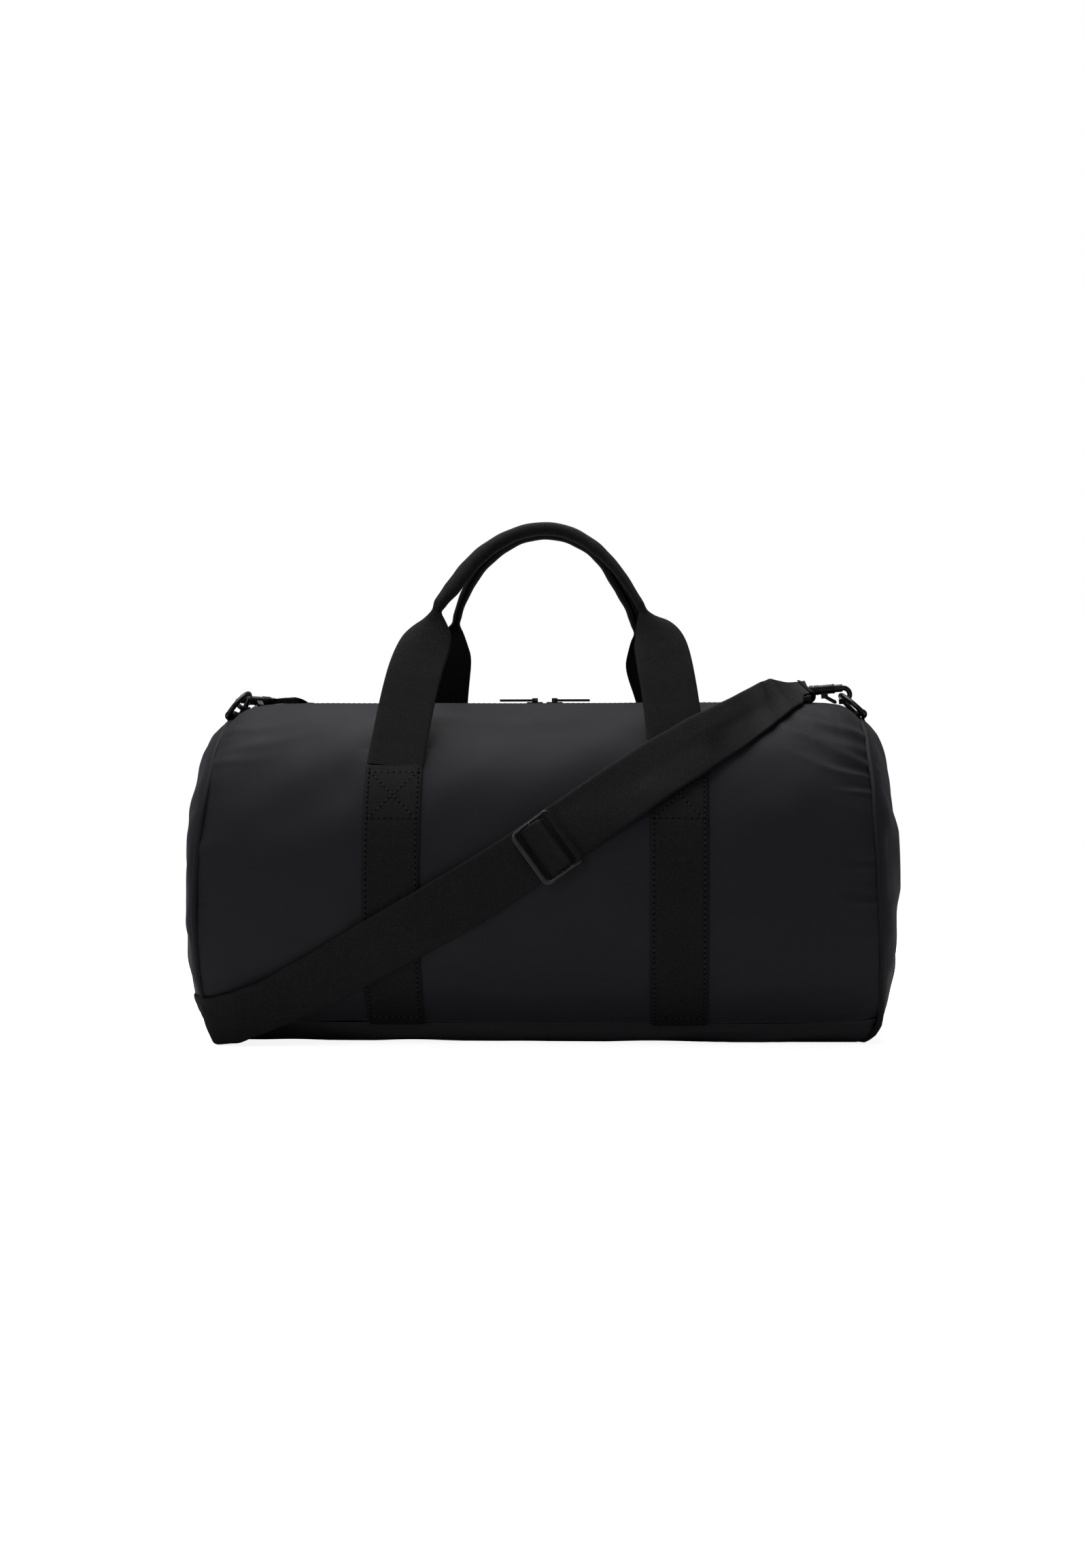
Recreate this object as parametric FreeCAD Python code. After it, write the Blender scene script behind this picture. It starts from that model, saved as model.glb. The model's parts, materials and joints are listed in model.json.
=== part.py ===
import FreeCAD, Part
import math, os
from FreeCAD import Vector

# Duffel bag: a fabric barrel with two webbing carry handles, a twin-slider
# zip along the top, a D-ring at each end and a long shoulder strap.
# X runs along the length (left is -X), -Y is the front, Z is up, the floor is z = 0.
# Origin: centre of the flat base.  Millimetres.

# ------------------------------------------------------------ driving dimensions
HALF_LEN = 221.0          # barrel, centre to end seam
MID_Z = 115.0             # height of the widest point
LOW_R = 119.5             # lower radius, cut off flat by the floor
LOW_POWER = 2.6           # squareness of the lower half
SEAM_Z = 15.0             # height of the base seam
SEAM_GAP = 0.05           # half the slit between neighbouring panels
PANEL_T = 1.2
WEB_W = 38.0              # webbing width
WEB_T = 1.8
ZIP_HALF = 178.0          # half length of the zip
FRONT_WEB_X = (-96.0, 94.0)
REAR_WEB_X = (-86.0, 88.0)
FREE_Z = 188.0            # height where the webs come free of the bag
HINGE_Z = 236.0           # height of the fold line of the handles
LEAN = 0.5                # handle lean: mm in y for each mm in z

# Barrel profile along its length: (distance from the centre, value)
DEPTHS = [(0, 120.0), (130, 120.0), (170, 118.5), (200, 116.0), (222, 113.0)]
TOPS = [(0, 236.0), (196, 236.0), (206, 233.0), (214, 228.0), (222, 221.0)]
BARREL_STATIONS = [0, 130, 170, 196, 206, 214]   # loft sections short of the end
END_STATION = 222                                # section the end panels start from

SIDES = (("left", -1), ("right", 1))
X_AXIS = Vector(1, 0, 0)
Y_AXIS = Vector(0, 1, 0)
CUT_LEN = 900.0           # cutting boxes, longer than the bag
CUT_Z = 200               # underside of the cuts through the top
CUT_H = 60

os.makedirs("parts", exist_ok=True)


# ------------------------------------------------------------ helpers
def save(name, *shapes):
    solids = [solid for shape in shapes for solid in shape.Solids]
    shape = solids[0] if len(solids) == 1 else Part.makeCompound(solids)
    shape.exportStep("parts/%s.step" % name)


def unit(vector):
    result = Vector(vector)
    result.normalize()
    return result


def tangent(points, i):
    """direction of an open run of points at point i"""
    return unit(points[min(i + 1, len(points) - 1)] - points[max(i - 1, 0)])


def ellipse(centre, dir_a, radius_a, dir_b, radius_b, count):
    angles = [2 * math.pi * i / count for i in range(count)]
    return [centre + dir_a * (radius_a * math.cos(angle)) + dir_b * (radius_b * math.sin(angle))
            for angle in angles]


def smooth_loop(points):
    curve = Part.BSplineCurve()
    curve.interpolate(points, PeriodicFlag=True)
    return Part.Wire([curve.toShape()])


def polygon(points):
    return Part.makePolygon(points + [points[0]])


def mid_box(x, z, length, width, height):
    """box from x and z upwards, centred on y = 0"""
    return Part.makeBox(length, width, height, Vector(x, -width / 2, z))


def rod_y(radius, length, x, z):
    """cylinder along Y, centred on y = 0"""
    return Part.makeCylinder(radius, length, Vector(x, -length / 2, z), Y_AXIS)


def low_edge(sign, near, far):
    """lower limit of the span near..far, mirrored when sign is -1"""
    return min(sign * near, sign * far)


def fillet_uprights(shape, height, radius):
    """round the edges that span exactly this height in z"""
    edges = [e for e in shape.Edges if abs(e.BoundBox.ZLength - height) < 1e-6]
    return shape.makeFillet(radius, edges)


def local_frame(origin, x_dir, y_dir):
    """unit axes squared up from two directions, and the matrix that places them"""
    x = unit(x_dir)
    y = unit(y_dir - x * x.dot(y_dir))
    z = unit(x.cross(y))
    matrix = FreeCAD.Matrix(x.x, y.x, z.x, origin.x, x.y, y.y, z.y, origin.y,
                            x.z, y.z, z.z, origin.z, 0, 0, 0, 1)
    return x, y, z, matrix


def fade(distance, flat, run):
    """1 within flat, falling to 0 over the next run"""
    return min(1.0, max(0.0, 1 - (distance - flat) / run))


# ------------------------------------------------------------ barrel shape
def lookup(table, x):
    """piecewise linear value at |x|, held constant past the last row"""
    x = abs(x)
    for (x0, y0), (x1, y1) in zip(table, table[1:]):
        if x <= x1:
            return y0 + (y1 - y0) * (x - x0) / (x1 - x0)
    return table[-1][1]


def section_points(x, inset=0.0, count=40):
    """cross-section: half ellipse above MID_Z, squarer curve below"""
    half_depth = lookup(DEPTHS, x) - inset
    rise = lookup(TOPS, x) - MID_Z - inset
    points = []
    for i in range(count):
        angle = 2 * math.pi * i / count
        cosine, sine = math.cos(angle), math.sin(angle)
        if sine >= 0:
            y, z = half_depth * cosine, rise * sine
        else:
            power = 2.0 / LOW_POWER
            y = half_depth * math.copysign(abs(cosine) ** power, cosine)
            z = -(LOW_R - inset) * abs(sine) ** power
        points.append(Vector(x, y, MID_Z + z))
    return points


def above(shape, z):
    return shape.common(Part.makeBox(1400, 1400, 700, Vector(-700, -700, z)))


def barrel(inset, half_len):
    stations = sorted({sign * x for x in BARREL_STATIONS + [half_len] for sign in (-1, 1)})
    wires = [smooth_loop(section_points(x, inset)) for x in stations]
    return above(Part.makeLoft(wires, True, True), inset)


def surface_y(x, z):
    """half depth of the barrel at height z, or -1 above its top"""
    half_depth = lookup(DEPTHS, x)
    if z >= MID_Z:
        ratio = (z - MID_Z) / (lookup(TOPS, x) - MID_Z)
        return half_depth * math.sqrt(1 - ratio * ratio) if ratio < 1 else -1.0
    ratio = (MID_Z - z) / LOW_R
    return half_depth * max(0.0, 1 - ratio ** LOW_POWER) ** (1 / LOW_POWER)


# ------------------------------------------------------------ barrel panels
def barrel_panels():
    tube = barrel(0.0, HALF_LEN).cut(barrel(PANEL_T, HALF_LEN + 0.5))
    zip_slot = mid_box(-ZIP_HALF - 6, CUT_Z, 2 * ZIP_HALF + 12, 16, CUT_H)
    slot = zip_slot.fuse(mid_box(-CUT_LEN / 2, CUT_Z, CUT_LEN, 2 * SEAM_GAP, CUT_H))
    for name, low_y in (("front", -300), ("rear", 0)):
        half = Part.makeBox(CUT_LEN, 300, 400, Vector(-CUT_LEN / 2, low_y, SEAM_Z + SEAM_GAP))
        save("%s_panel" % name, tube.common(half).cut(slot))
    base = mid_box(-CUT_LEN / 2, -1, CUT_LEN, 600, SEAM_Z + 1 - SEAM_GAP)
    save("base_panel", tube.common(base))


# ------------------------------------------------------------ lining and base board
LINING_T = 0.6
LINING_INSET = PANEL_T + 0.3
LINING_HALF = 219.0
LINING_GAP = 38           # opening under the zip
DISC_X = 219.2            # inner face of the end discs
DISC_INSET = 3.0


def lining_disc(x):
    points = [Vector(x, p.y, p.z) for p in section_points(LINING_HALF, DISC_INSET)]
    disc = Part.Face(smooth_loop(points)).extrude(Vector(LINING_T, 0, 0))
    return above(disc, DISC_INSET + 0.2)


def lining():
    tube = barrel(LINING_INSET, LINING_HALF).cut(
        barrel(LINING_INSET + LINING_T, LINING_HALF + 0.5))
    tube = tube.cut(mid_box(-CUT_LEN / 2, CUT_Z, CUT_LEN, LINING_GAP, CUT_H))
    save("lining", tube, lining_disc(DISC_X), lining_disc(-DISC_X - LINING_T))


barrel_panels()
lining()
save("base_board", mid_box(-208, 2.5, 416, 88, 2.4))

# ------------------------------------------------------------ end panels and piping
DOME_X = 226.0            # where the end domes start
BULGE = 26.5              # how far each end panel domes out
DOME_SHRINK = 0.91        # share of the squared section size lost at the tip
DOME_STEPS = [0.0, 0.2, 0.4, 0.58, 0.74, 0.87, 0.95, 1.0]   # fractions of the bulge
DOME_INSET = 1.3          # inner dome surface, inside the outer one
PIPE_X = 223.5
PIPE_R = 2.2


def dome_x(y, z):
    """how far out the end dome reaches at (y, z)"""
    half_depth = lookup(DEPTHS, END_STATION)
    rise = lookup(TOPS, END_STATION) - MID_Z
    if z >= MID_Z:
        ratio = math.sqrt((y / half_depth) ** 2 + ((z - MID_Z) / rise) ** 2)
    else:
        ratio = (abs(y / half_depth) ** LOW_POWER
                 + ((MID_Z - z) / LOW_R) ** LOW_POWER) ** (1 / LOW_POWER)
    if ratio >= 1:
        return DOME_X - 1
    return DOME_X + BULGE * math.sqrt((1 - ratio * ratio) / DOME_SHRINK)


def dome(sign, bulge, start_x, inset):
    wires = []
    for step in DOME_STEPS:
        scale = math.sqrt(1 - DOME_SHRINK * step * step)
        x = sign * (start_x + bulge * step)
        wires.append(smooth_loop([Vector(x, p.y * scale, MID_Z + (p.z - MID_Z) * scale)
                                  for p in section_points(END_STATION, inset)]))
    return above(Part.makeLoft(wires, True, True), inset)


def piping(sign):
    """corded ring in the end seam, lofted as two halves"""
    path = [Vector(sign * PIPE_X, p.y, max(p.z, PIPE_R + 0.1))
            for p in section_points(END_STATION, 1.0, 60)]
    count = len(path)
    wires = []
    for i in range(count):
        along = unit(path[(i + 1) % count] - path[i - 1])
        across = unit(along.cross(X_AXIS))
        wires.append(polygon(ellipse(path[i], X_AXIS, PIPE_R, across, PIPE_R, 10)))
    wires.append(wires[0])
    half = count // 2
    first = Part.makeLoft(wires[:half + 1], True, True)
    second = Part.makeLoft(wires[half:], True, True)
    return first.fuse(second).removeSplitter()


for side, sign in SIDES:
    outer_dome = dome(sign, BULGE, DOME_X, 0.0)
    inner_dome = dome(sign, BULGE - PANEL_T, DOME_X - 0.1, DOME_INSET)
    save("%s_end_panel" % side, outer_dome.cut(inner_dome))
    save("%s_end_piping" % side, piping(sign))

# ------------------------------------------------------------ zip
TAPE_Y = (3.35, 17.0)     # inner and outer edge of each tape
COIL_Y = (0.7, 3.3)
COIL_HALF = ZIP_HALF - 4
TAB_X = (ZIP_HALF + 0.3, ZIP_HALF + 5.7)
SLIDER_X = 7.0            # slider centres, either side of the middle
SLIDER_SIZE = 11
PLATE_T = 1.4             # slider top plate
PIN_Z = 237.9             # cross pin of the pull
PULL_W = 7.2
PULL_T = 1.3
PULL_Z = PIN_Z - PULL_T / 2
ARM_W = 2.0
ARM_LEN = 7.0
GRIP_X = (SLIDER_X + 5.0, SLIDER_X + 25.0)


def zip_strip(sign, half_len, limits, z, height):
    near, far = limits
    corner = Vector(-half_len, low_edge(sign, near, far), z)
    return Part.makeBox(2 * half_len, far - near, height, corner)


def zip_slider(x):
    body = mid_box(x - SLIDER_SIZE / 2, 235.1, SLIDER_SIZE, SLIDER_SIZE, PLATE_T)
    body = body.fuse(mid_box(x - SLIDER_SIZE / 2, 230.1, SLIDER_SIZE, SLIDER_SIZE, 1.3))
    body = body.fuse(mid_box(x - 2, 230.6, 4, 1.0, 5.2))       # post between the plates
    body = body.fuse(mid_box(x - 2, 236.3, 4.0, 2.4, 3.2))     # lug for the pull
    body = fillet_uprights(body, PLATE_T, 0.35)
    return body.cut(rod_y(1.0, 6, x, PIN_Z))


def zip_pull(sign):
    """cross pin, two arms and a flat grip pointing away from the middle"""
    pull = rod_y(0.93, PULL_W, sign * SLIDER_X, PIN_Z)
    arm_x = low_edge(sign, SLIDER_X, SLIDER_X + ARM_LEN)
    for y in (-PULL_W / 2, PULL_W / 2 - ARM_W):
        pull = pull.fuse(Part.makeBox(ARM_LEN, ARM_W, PULL_T, Vector(arm_x, y, PULL_Z)))
    grip = mid_box(low_edge(sign, *GRIP_X), PULL_Z, GRIP_X[1] - GRIP_X[0], PULL_W, PULL_T)
    return pull.fuse(grip).removeSplitter()


for side, sign in (("front", -1), ("rear", 1)):
    save("zip_tape_%s" % side, zip_strip(sign, ZIP_HALF, TAPE_Y, 232.3, 0.6))
    save("zip_coil_%s" % side, zip_strip(sign, COIL_HALF, COIL_Y, 231.9, 2.6))
save("zip_end_tabs", *[mid_box(low_edge(sign, *TAB_X), 232.4, TAB_X[1] - TAB_X[0], 15.2, 2.0)
                       for sign in (-1, 1)])
for side, sign in SIDES:
    save("zip_slider_%s" % side, zip_slider(sign * SLIDER_X))
    save("zip_pull_%s" % side, zip_pull(sign))

# ------------------------------------------------------------ webs and handles
FREE_Y = surface_y(0, FREE_Z) + 0.3      # inner face of the web where it comes free
NORMAL_Y = 1.0 / math.hypot(1, LEAN)     # outward normal of the leaning planes
NORMAL_Z = LEAN / math.hypot(1, LEAN)
GRIP_R = 5.3                             # grip radius square to the plane
GRIP_END_R = 4.0

# Handles seen square to their leaning planes.
# arch: (x, height, half width of the folded grip); legs: (x, height, full width)
FRONT_HANDLE = dict(
    arch=[(-73.5, 298, 4.4), (-64.5, 312, 5.4), (-57.5, 323.5, 5.8), (-47.0, 336.5, 5.7),
          (-34.5, 347.5, 5.4), (-20.0, 355.5, 5.1), (-3.0, 359.0, 4.9), (12.0, 357.3, 4.8),
          (25.0, 351.3, 4.7), (38.0, 341.6, 4.4), (49.5, 329.2, 3.6), (58.5, 316.5, 3.0),
          (66.0, 304.5, 2.8), (70.0, 297.0, 3.2)],
    left=[(-89.5, HINGE_Z, WEB_W), (-85.3, 257.0, 38.0), (-81.0, 272.0, 37.0),
          (-77.0, 284.0, 31.0), (-74.8, 292.0, 16.0), (-73.5, 298.0, 9.0)],
    right=[(88.4, HINGE_Z, WEB_W), (85.0, 257.0, 36.5), (82.0, 272.0, 33.0),
           (77.5, 284.0, 30.0), (72.5, 292.0, 18.0), (70.0, 297.0, 7.0)])
REAR_HANDLE = dict(
    arch=[(-67.5, 297, 3.4), (-62.5, 311, 3.6), (-57.0, 321.5, 4.0), (-47.5, 335.5, 4.6),
          (-35.0, 346.8, 5.0), (-20.5, 355.0, 5.0), (-3.0, 359.0, 5.0), (12.0, 357.5, 5.0),
          (26.0, 352.2, 5.2), (39.0, 343.0, 5.6), (51.5, 325.5, 5.8), (59.0, 313.5, 5.8),
          (64.0, 302.0, 5.6), (66.3, 290.0, 4.4)],
    left=[(-80.7, HINGE_Z, WEB_W), (-78.0, 257.0, 37.0), (-75.0, 272.0, 34.0),
          (-71.6, 284.0, 28.0), (-69.0, 291.0, 15.0), (-67.5, 297.0, 8.0)],
    right=[(84.7, HINGE_Z, WEB_W), (79.6, 254.0, 37.0), (75.0, 266.0, 33.0),
           (70.5, 278.0, 26.0), (67.6, 285.0, 14.0), (66.3, 290.0, 9.0)])


def leg_y(z):
    """|y| of the inner face of the free web at height z"""
    return FREE_Y - LEAN * (z - FREE_Z)


def outward(sign, distance):
    """step square to the leaning plane, away from the bag"""
    return Vector(0, sign * NORMAL_Y * distance, NORMAL_Z * distance)


def sewn_web(sign, low_x, top_x):
    """web that follows the barrel up to FREE_Z, then leans in to the hinge"""
    heights = [SEAM_Z + 0.5 + i * 1.5 for i in range(16)] + [41 + i * 6.1 for i in range(25)]
    heights = [z for z in heights if z < FREE_Z] + [FREE_Z]
    inner = [Vector(0, sign * (surface_y(0, z) + 0.25), z) for z in heights]
    outer = []
    for i, point in enumerate(inner):
        along = tangent(inner, i)
        step = Vector(0, sign * along.z, -sign * along.y) * WEB_T
        if i == len(inner) - 1:
            step = outward(sign, WEB_T)
        outer.append(point + step)
    low = Part.Face(polygon(inner + outer[::-1])).extrude(Vector(WEB_W, 0, 0))
    low.translate(Vector(low_x - WEB_W / 2, 0, 0))
    top_z = HINGE_Z - 0.5
    corners = [Vector(x + edge * WEB_W / 2, sign * (leg_y(z) - 0.05), z)
               for x, z, edge in ((low_x, FREE_Z, -1), (low_x, FREE_Z, 1),
                                  (top_x, top_z, 1), (top_x, top_z, -1))]
    free = Part.Face(polygon(corners)).extrude(outward(sign, WEB_T))
    return low.fuse(free).removeSplitter()


def handle(sign, shape):
    def place(x, z):
        return Vector(x, sign * leg_y(z), z)

    normal = outward(sign, 1)
    arch = [place(x, z) + outward(sign, WEB_T / 2) for x, z, _ in shape["arch"]]
    wires = []
    for i, point in enumerate(arch):
        across = unit(tangent(arch, i).cross(normal))
        depth_r = GRIP_END_R if i in (0, len(arch) - 1) else GRIP_R
        half_width = shape["arch"][i][2]
        wires.append(smooth_loop(ellipse(point, across, half_width, normal, depth_r, 14)))
    result = Part.makeLoft(wires, True, False)
    for leg in (shape["left"], shape["right"]):
        low_x_edge = [place(x - width / 2, z) for x, z, width in leg]
        high_x_edge = [place(x + width / 2, z) for x, z, width in leg]
        face = Part.Face(polygon(low_x_edge + high_x_edge[::-1]))
        result = result.fuse(face.extrude(outward(sign, WEB_T)))
    return result.removeSplitter()


for face_name, sign, web_x, shape in (("front", -1, FRONT_WEB_X, FRONT_HANDLE),
                                      ("rear", 1, REAR_WEB_X, REAR_HANDLE)):
    for side, low_x in zip(("left", "right"), web_x):
        save("%s_%s_web" % (face_name, side), sewn_web(sign, low_x, shape[side][0][0]))
    save("%s_handle" % face_name, handle(sign, shape))

# ------------------------------------------------------------ D-rings and tabs
RING_R = 19.0             # D-ring centre-line radius
RING_WIRE = 1.8           # wire radius
RING_STEP = 2.5           # rise of the bow right beside the straight bar
RING_STEPS = 24
RING_TAB_W = 31
# side: (centre of the straight bar, direction of the bow)
RINGS = {
    "left": (Vector(-223.9, 0, 227.6), Vector(0.57, 0, 0.822)),
    "right": (Vector(223.6, 0, 227.6), Vector(-0.72, 0, 0.694)),
}


def d_ring(centre, bow_dir):
    points = []
    for i in range(RING_STEPS + 1):
        angle = math.pi * i / RING_STEPS
        rise = 0.0
        if 0 < i < RING_STEPS:
            rise = RING_STEP + (RING_R - RING_STEP) * math.sin(angle)
        points.append(centre + Y_AXIS * (RING_R * math.cos(angle)) + bow_dir * rise)
    normal = unit(bow_dir.cross(Y_AXIS))
    wires = []
    for i, point in enumerate(points):
        across = unit(tangent(points, i).cross(normal))
        wires.append(smooth_loop(ellipse(point, across, RING_WIRE, normal, RING_WIRE, 12)))
    bow = Part.makeLoft(wires, True, False)
    corners = [Part.makeSphere(RING_WIRE * 1.03, centre + Y_AXIS * (sign * RING_R))
               for sign in (1, -1)]
    bar = rod_y(RING_WIRE, 2 * RING_R, centre.x, centre.z)
    return bar.fuse([bow] + corners).removeSplitter()


def ring_tab(centre):
    """fabric loop round the straight bar, with a foot below it"""
    tab = rod_y(3.5, RING_TAB_W, centre.x, centre.z).fuse(
        mid_box(centre.x - 2.2, 222.35, 4.4, RING_TAB_W, 3.4))
    return tab.cut(rod_y(1.88, 40, centre.x, centre.z)).removeSplitter()


for side, (centre, bow_dir) in RINGS.items():
    save("%s_d_ring" % side, d_ring(centre, bow_dir))
    save("%s_ring_tab" % side, ring_tab(centre))

# ------------------------------------------------------------ snap hooks
# Built in a local frame: origin in the jaw, x from eye to jaw, y along the ring wire.
# side: (jaw centre, local x, local y)
HOOKS = {
    "right": (Vector(209.4, 0, 241.2), Vector(0.996, 0, 0.087), Vector(0, 1, 0)),
    "left": (Vector(-218.1, 16.8, 236.5), Vector(-0.775, -0.632, 0.0255),
             Vector(0.474, -0.553, 0.684)),
}
SHANK_Z = 4.8             # shank axis above the jaw centre, also the jaw radius
JAW_X = 2.0               # centre of the jaw bend
GATE_X, GATE_Z = -11, 0.2 # gate pin
GATE_W = 2.3
EYE_W = 44.0
EYE_X = -25.2
EYE_BAR_X = -33.0         # bar that carries the strap
EYE_ARM = 3.2             # arm thickness
RIGHT_TILT = 18.0         # degrees the right eye is turned about the shank
# Side outline of the gate bar: (x, z)
GATE_OUTLINE = [(-11.5, -1.2), (-4.6, -5.8), (-3.0, -5.8), (-3.0, -3.9), (-10.4, 1.0)]


def shank_rod(radius, length, x):
    return Part.makeCylinder(radius, length, Vector(x, 0, SHANK_Z), X_AXIS)


def hook_body():
    shank = shank_rod(2.7, 21, -19.0).fuse(shank_rod(3.3, 15.4, -19.0))
    start = Vector(0, 0, SHANK_Z)
    bend_start, bend_end = Vector(JAW_X, 0, SHANK_Z), Vector(JAW_X, 0, -SHANK_Z)
    path = Part.Wire([
        Part.makeLine(start, bend_start),
        Part.Arc(bend_start, Vector(JAW_X + SHANK_Z, 0, 0), bend_end).toShape(),
        Part.makeLine(bend_end, Vector(-1.2, 0, -SHANK_Z))])
    jaw = path.makePipe(Part.Face(Part.Wire([Part.makeCircle(1.8, start, X_AXIS)])))
    ears = [Part.makeBox(4.4, 1.1, 4.6, Vector(-13.2, y, -1.4)) for y in (-2.4, 1.3)]
    # collar, swivel neck and swivel head behind the shank
    swivel = [shank_rod(3.7, 2.4, -21.2), shank_rod(1.5, 7.6, -27.6), shank_rod(2.5, 1.3, -28.6)]
    hook = shank.fuse([jaw] + swivel + ears)
    hook = hook.cut(rod_y(0.85, 8, GATE_X, GATE_Z))
    return hook.cut(rod_y(2.0, 2.58, GATE_X, GATE_Z))


def hook_gate():
    """bar on a cross pin, closing on the tip of the jaw"""
    outline = [Vector(x, -GATE_W / 2, z) for x, z in GATE_OUTLINE]
    bar = Part.Face(polygon(outline)).extrude(Vector(0, GATE_W, 0))
    hub = rod_y(1.5, GATE_W, GATE_X, GATE_Z)
    return hub.fuse([bar, rod_y(0.8, 5.0, GATE_X, GATE_Z)]).removeSplitter()


def hook_eye(tilt):
    arms = [Part.makeBox(9.6, EYE_ARM, EYE_ARM, Vector(-33.6, y, SHANK_Z - EYE_ARM / 2))
            for y in (-EYE_W / 2, EYE_W / 2 - EYE_ARM)]
    eye = mid_box(EYE_X, SHANK_Z - 2.0, 3.0, EYE_W, 4.0).fuse(arms + [
        rod_y(1.6, 41, EYE_BAR_X, SHANK_Z), shank_rod(3.0, 3.0, EYE_X)]).removeSplitter()
    eye = eye.cut(shank_rod(1.56, 6, -27))
    eye.rotate(Vector(0, 0, SHANK_Z), X_AXIS, tilt)
    return eye


EYES = {}   # side: (centre of the eye bar, hook axis, direction of the bar, bar normal)
for side, (jaw_centre, x_dir, y_dir) in HOOKS.items():
    axis, y_dir, z_dir, matrix = local_frame(jaw_centre, x_dir, y_dir)
    # the left eye is turned until its bar is level
    tilt = RIGHT_TILT if side == "right" else math.degrees(math.atan2(-y_dir.z, z_dir.z))
    save("%s_hook_body" % side, hook_body().transformed(matrix))
    save("%s_hook_gate" % side, hook_gate().transformed(matrix))
    save("%s_hook_eye" % side, hook_eye(tilt).transformed(matrix))
    cosine, sine = math.cos(math.radians(tilt)), math.sin(math.radians(tilt))
    EYES[side] = (jaw_centre + axis * EYE_BAR_X + z_dir * SHANK_Z, axis,
                  y_dir * cosine + z_dir * sine, z_dir * cosine - y_dir * sine)

# ------------------------------------------------------------ shoulder strap
STRAP_T = 1.5
STRAP_EYE_W = 35.0        # strap width at the hook eyes
ACROSS = 7                # points across the strap
LEG_X = (-94.0, 91.0)     # middle of the free front legs, for clearance
WEB_LIFT = 2.4            # extra clearance over a sewn web
# Clearance of the strap's outer face from the bag, by surface
CLEARANCE = {"front": 4.2, "end": 4.8, "rear": 2.6}

# Stations: surface, upper edge and lower edge of the outer face.
# From the lower left corner of the front up to the right hook
FRONT_RUN = [
    ("front", (-222.0, -100.5, 33.5), (-222, -101.5, 0.6)),
    ("front", (-205.0, -102, 38.0), (-203, -99, 4.5)),
    ("front", (-184.0, -107, 45.0), (-178, -99, 11.5)),
    ("front", (-151.4, -115.6, 63.5), (-137.4, -100, 28.3)),
    ("front", (-116.6, -120.6, 84.0), (-100.5, -112, 49.0)),
    ("front", (-77.7, -122.5, 106.5), (-61.0, -118, 70.0)),
    ("front", (-46.0, -122.8, 125.5), (-29.5, -122, 88.5)),
    ("front", (-19.2, -121.0, 142.5), (1.5, -123, 110.0)),
    ("front", (2.0, -117.0, 157.5), (22.0, -123, 124.0)),
    ("front", (14.5, -114.0, 166.0), (35.5, -122, 132.5)),
    ("front", (42.0, -106.0, 185.0), (62.0, -117, 151.0)),
    ("front", (70.0, -97.0, 203.5), (89.0, -112, 170.0)),
    ("front", (100.0, -86.0, 221.0), (114.0, -102, 186.0)),
    ("front", (130.0, -66.0, 236.0), (137.5, -90, 201.5)),
    ("free", (150.0, -40.0, 247.5), (159.0, -71, 218.0)),
    ("free", (160.0, -17.0, 252.5), (172.5, -50, 230.5)),
]
# From the same corner round the left end and up the rear towards the left hook
LEFT_RUN = [
    ("end", (-229.5, -97.5, 34.0), (-229.5, -98.5, 0.7)),
    ("end", (-236.0, -88, 35.0), (-236, -90, 0.8)),
    ("end", (-246.0, -62, 36.0), (-246, -63, 0.8)),
    ("end", (-251.0, -25, 37.0), (-251, -25, 0.8)),
    ("end", (-251.0, 25, 37.0), (-251, 25, 0.8)),
    ("end", (-246.0, 62, 37.0), (-246, 63, 0.8)),
    ("end", (-237.0, 90, 37.5), (-237, 94, 1.2)),
    ("rear", (-223.0, 105, 39.0), (-216, 103, 3.5)),
    ("rear", (-212.5, 110, 46.0), (-189, 108, 17.0)),
    ("rear", (-207.5, 115, 60.0), (-172.5, 117, 46.0)),
    ("rear", (-205.0, 117, 85.0), (-168, 119, 84.0)),
    ("rear", (-203.5, 117, 125.0), (-166, 119, 127.0)),
    ("rear", (-202.0, 105, 165.0), (-165, 108, 172.0)),
    ("rear", (-200.0, 90, 198.0), (-165, 80, 209.0)),
    ("rear", (-201.0, 72, 218.0), (-168, 58, 226.0)),
]


def front_y(x, z):
    """|y| that clears the barrel, the sewn webs and the free legs on the front"""
    base = max(surface_y(x, z), 0.0)
    lift = WEB_LIFT * fade(min(abs(x - web_x) for web_x in FRONT_WEB_X), 19.6, 14.0)
    y = base + lift
    if lift > 0.1 and z > FREE_Z - 12:
        near_leg = fade(min(abs(x - leg_x) for leg_x in LEG_X), 24, 16.0)
        y = max(y, base + max(leg_y(z) + 3.2 - base, 0.0) * near_leg)
    return y


def blend(start, end, fraction):
    return start * (1 - fraction) + end * fraction


def drape(surface, upper, lower):
    """points from the upper to the lower edge, pushed clear of the bag"""
    row = []
    for i in range(ACROSS):
        p = blend(upper, lower, i / (ACROSS - 1.0))
        if surface == "front":
            p.y = min(p.y, -(front_y(p.x, p.z) + CLEARANCE["front"]))
        elif surface == "rear":
            p.y = max(p.y, surface_y(p.x, p.z) + CLEARANCE["rear"])
        elif surface == "end":
            p.x = min(p.x, -(dome_x(p.y, p.z) + CLEARANCE["end"]))
        row.append(p)
    return row


def draped_rows(stations, steps=3):
    """drape the stations, with steps intervals between each pair"""
    stations = [(surface, Vector(*upper), Vector(*lower)) for surface, upper, lower in stations]
    rows = []
    for (surface, upper0, lower0), (_, upper1, lower1) in zip(stations, stations[1:]):
        for i in range(steps):
            fraction = i / float(steps)
            rows.append(drape(surface, blend(upper0, upper1, fraction),
                              blend(lower0, lower1, fraction)))
    return rows + [drape(*stations[-1])]


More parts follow.
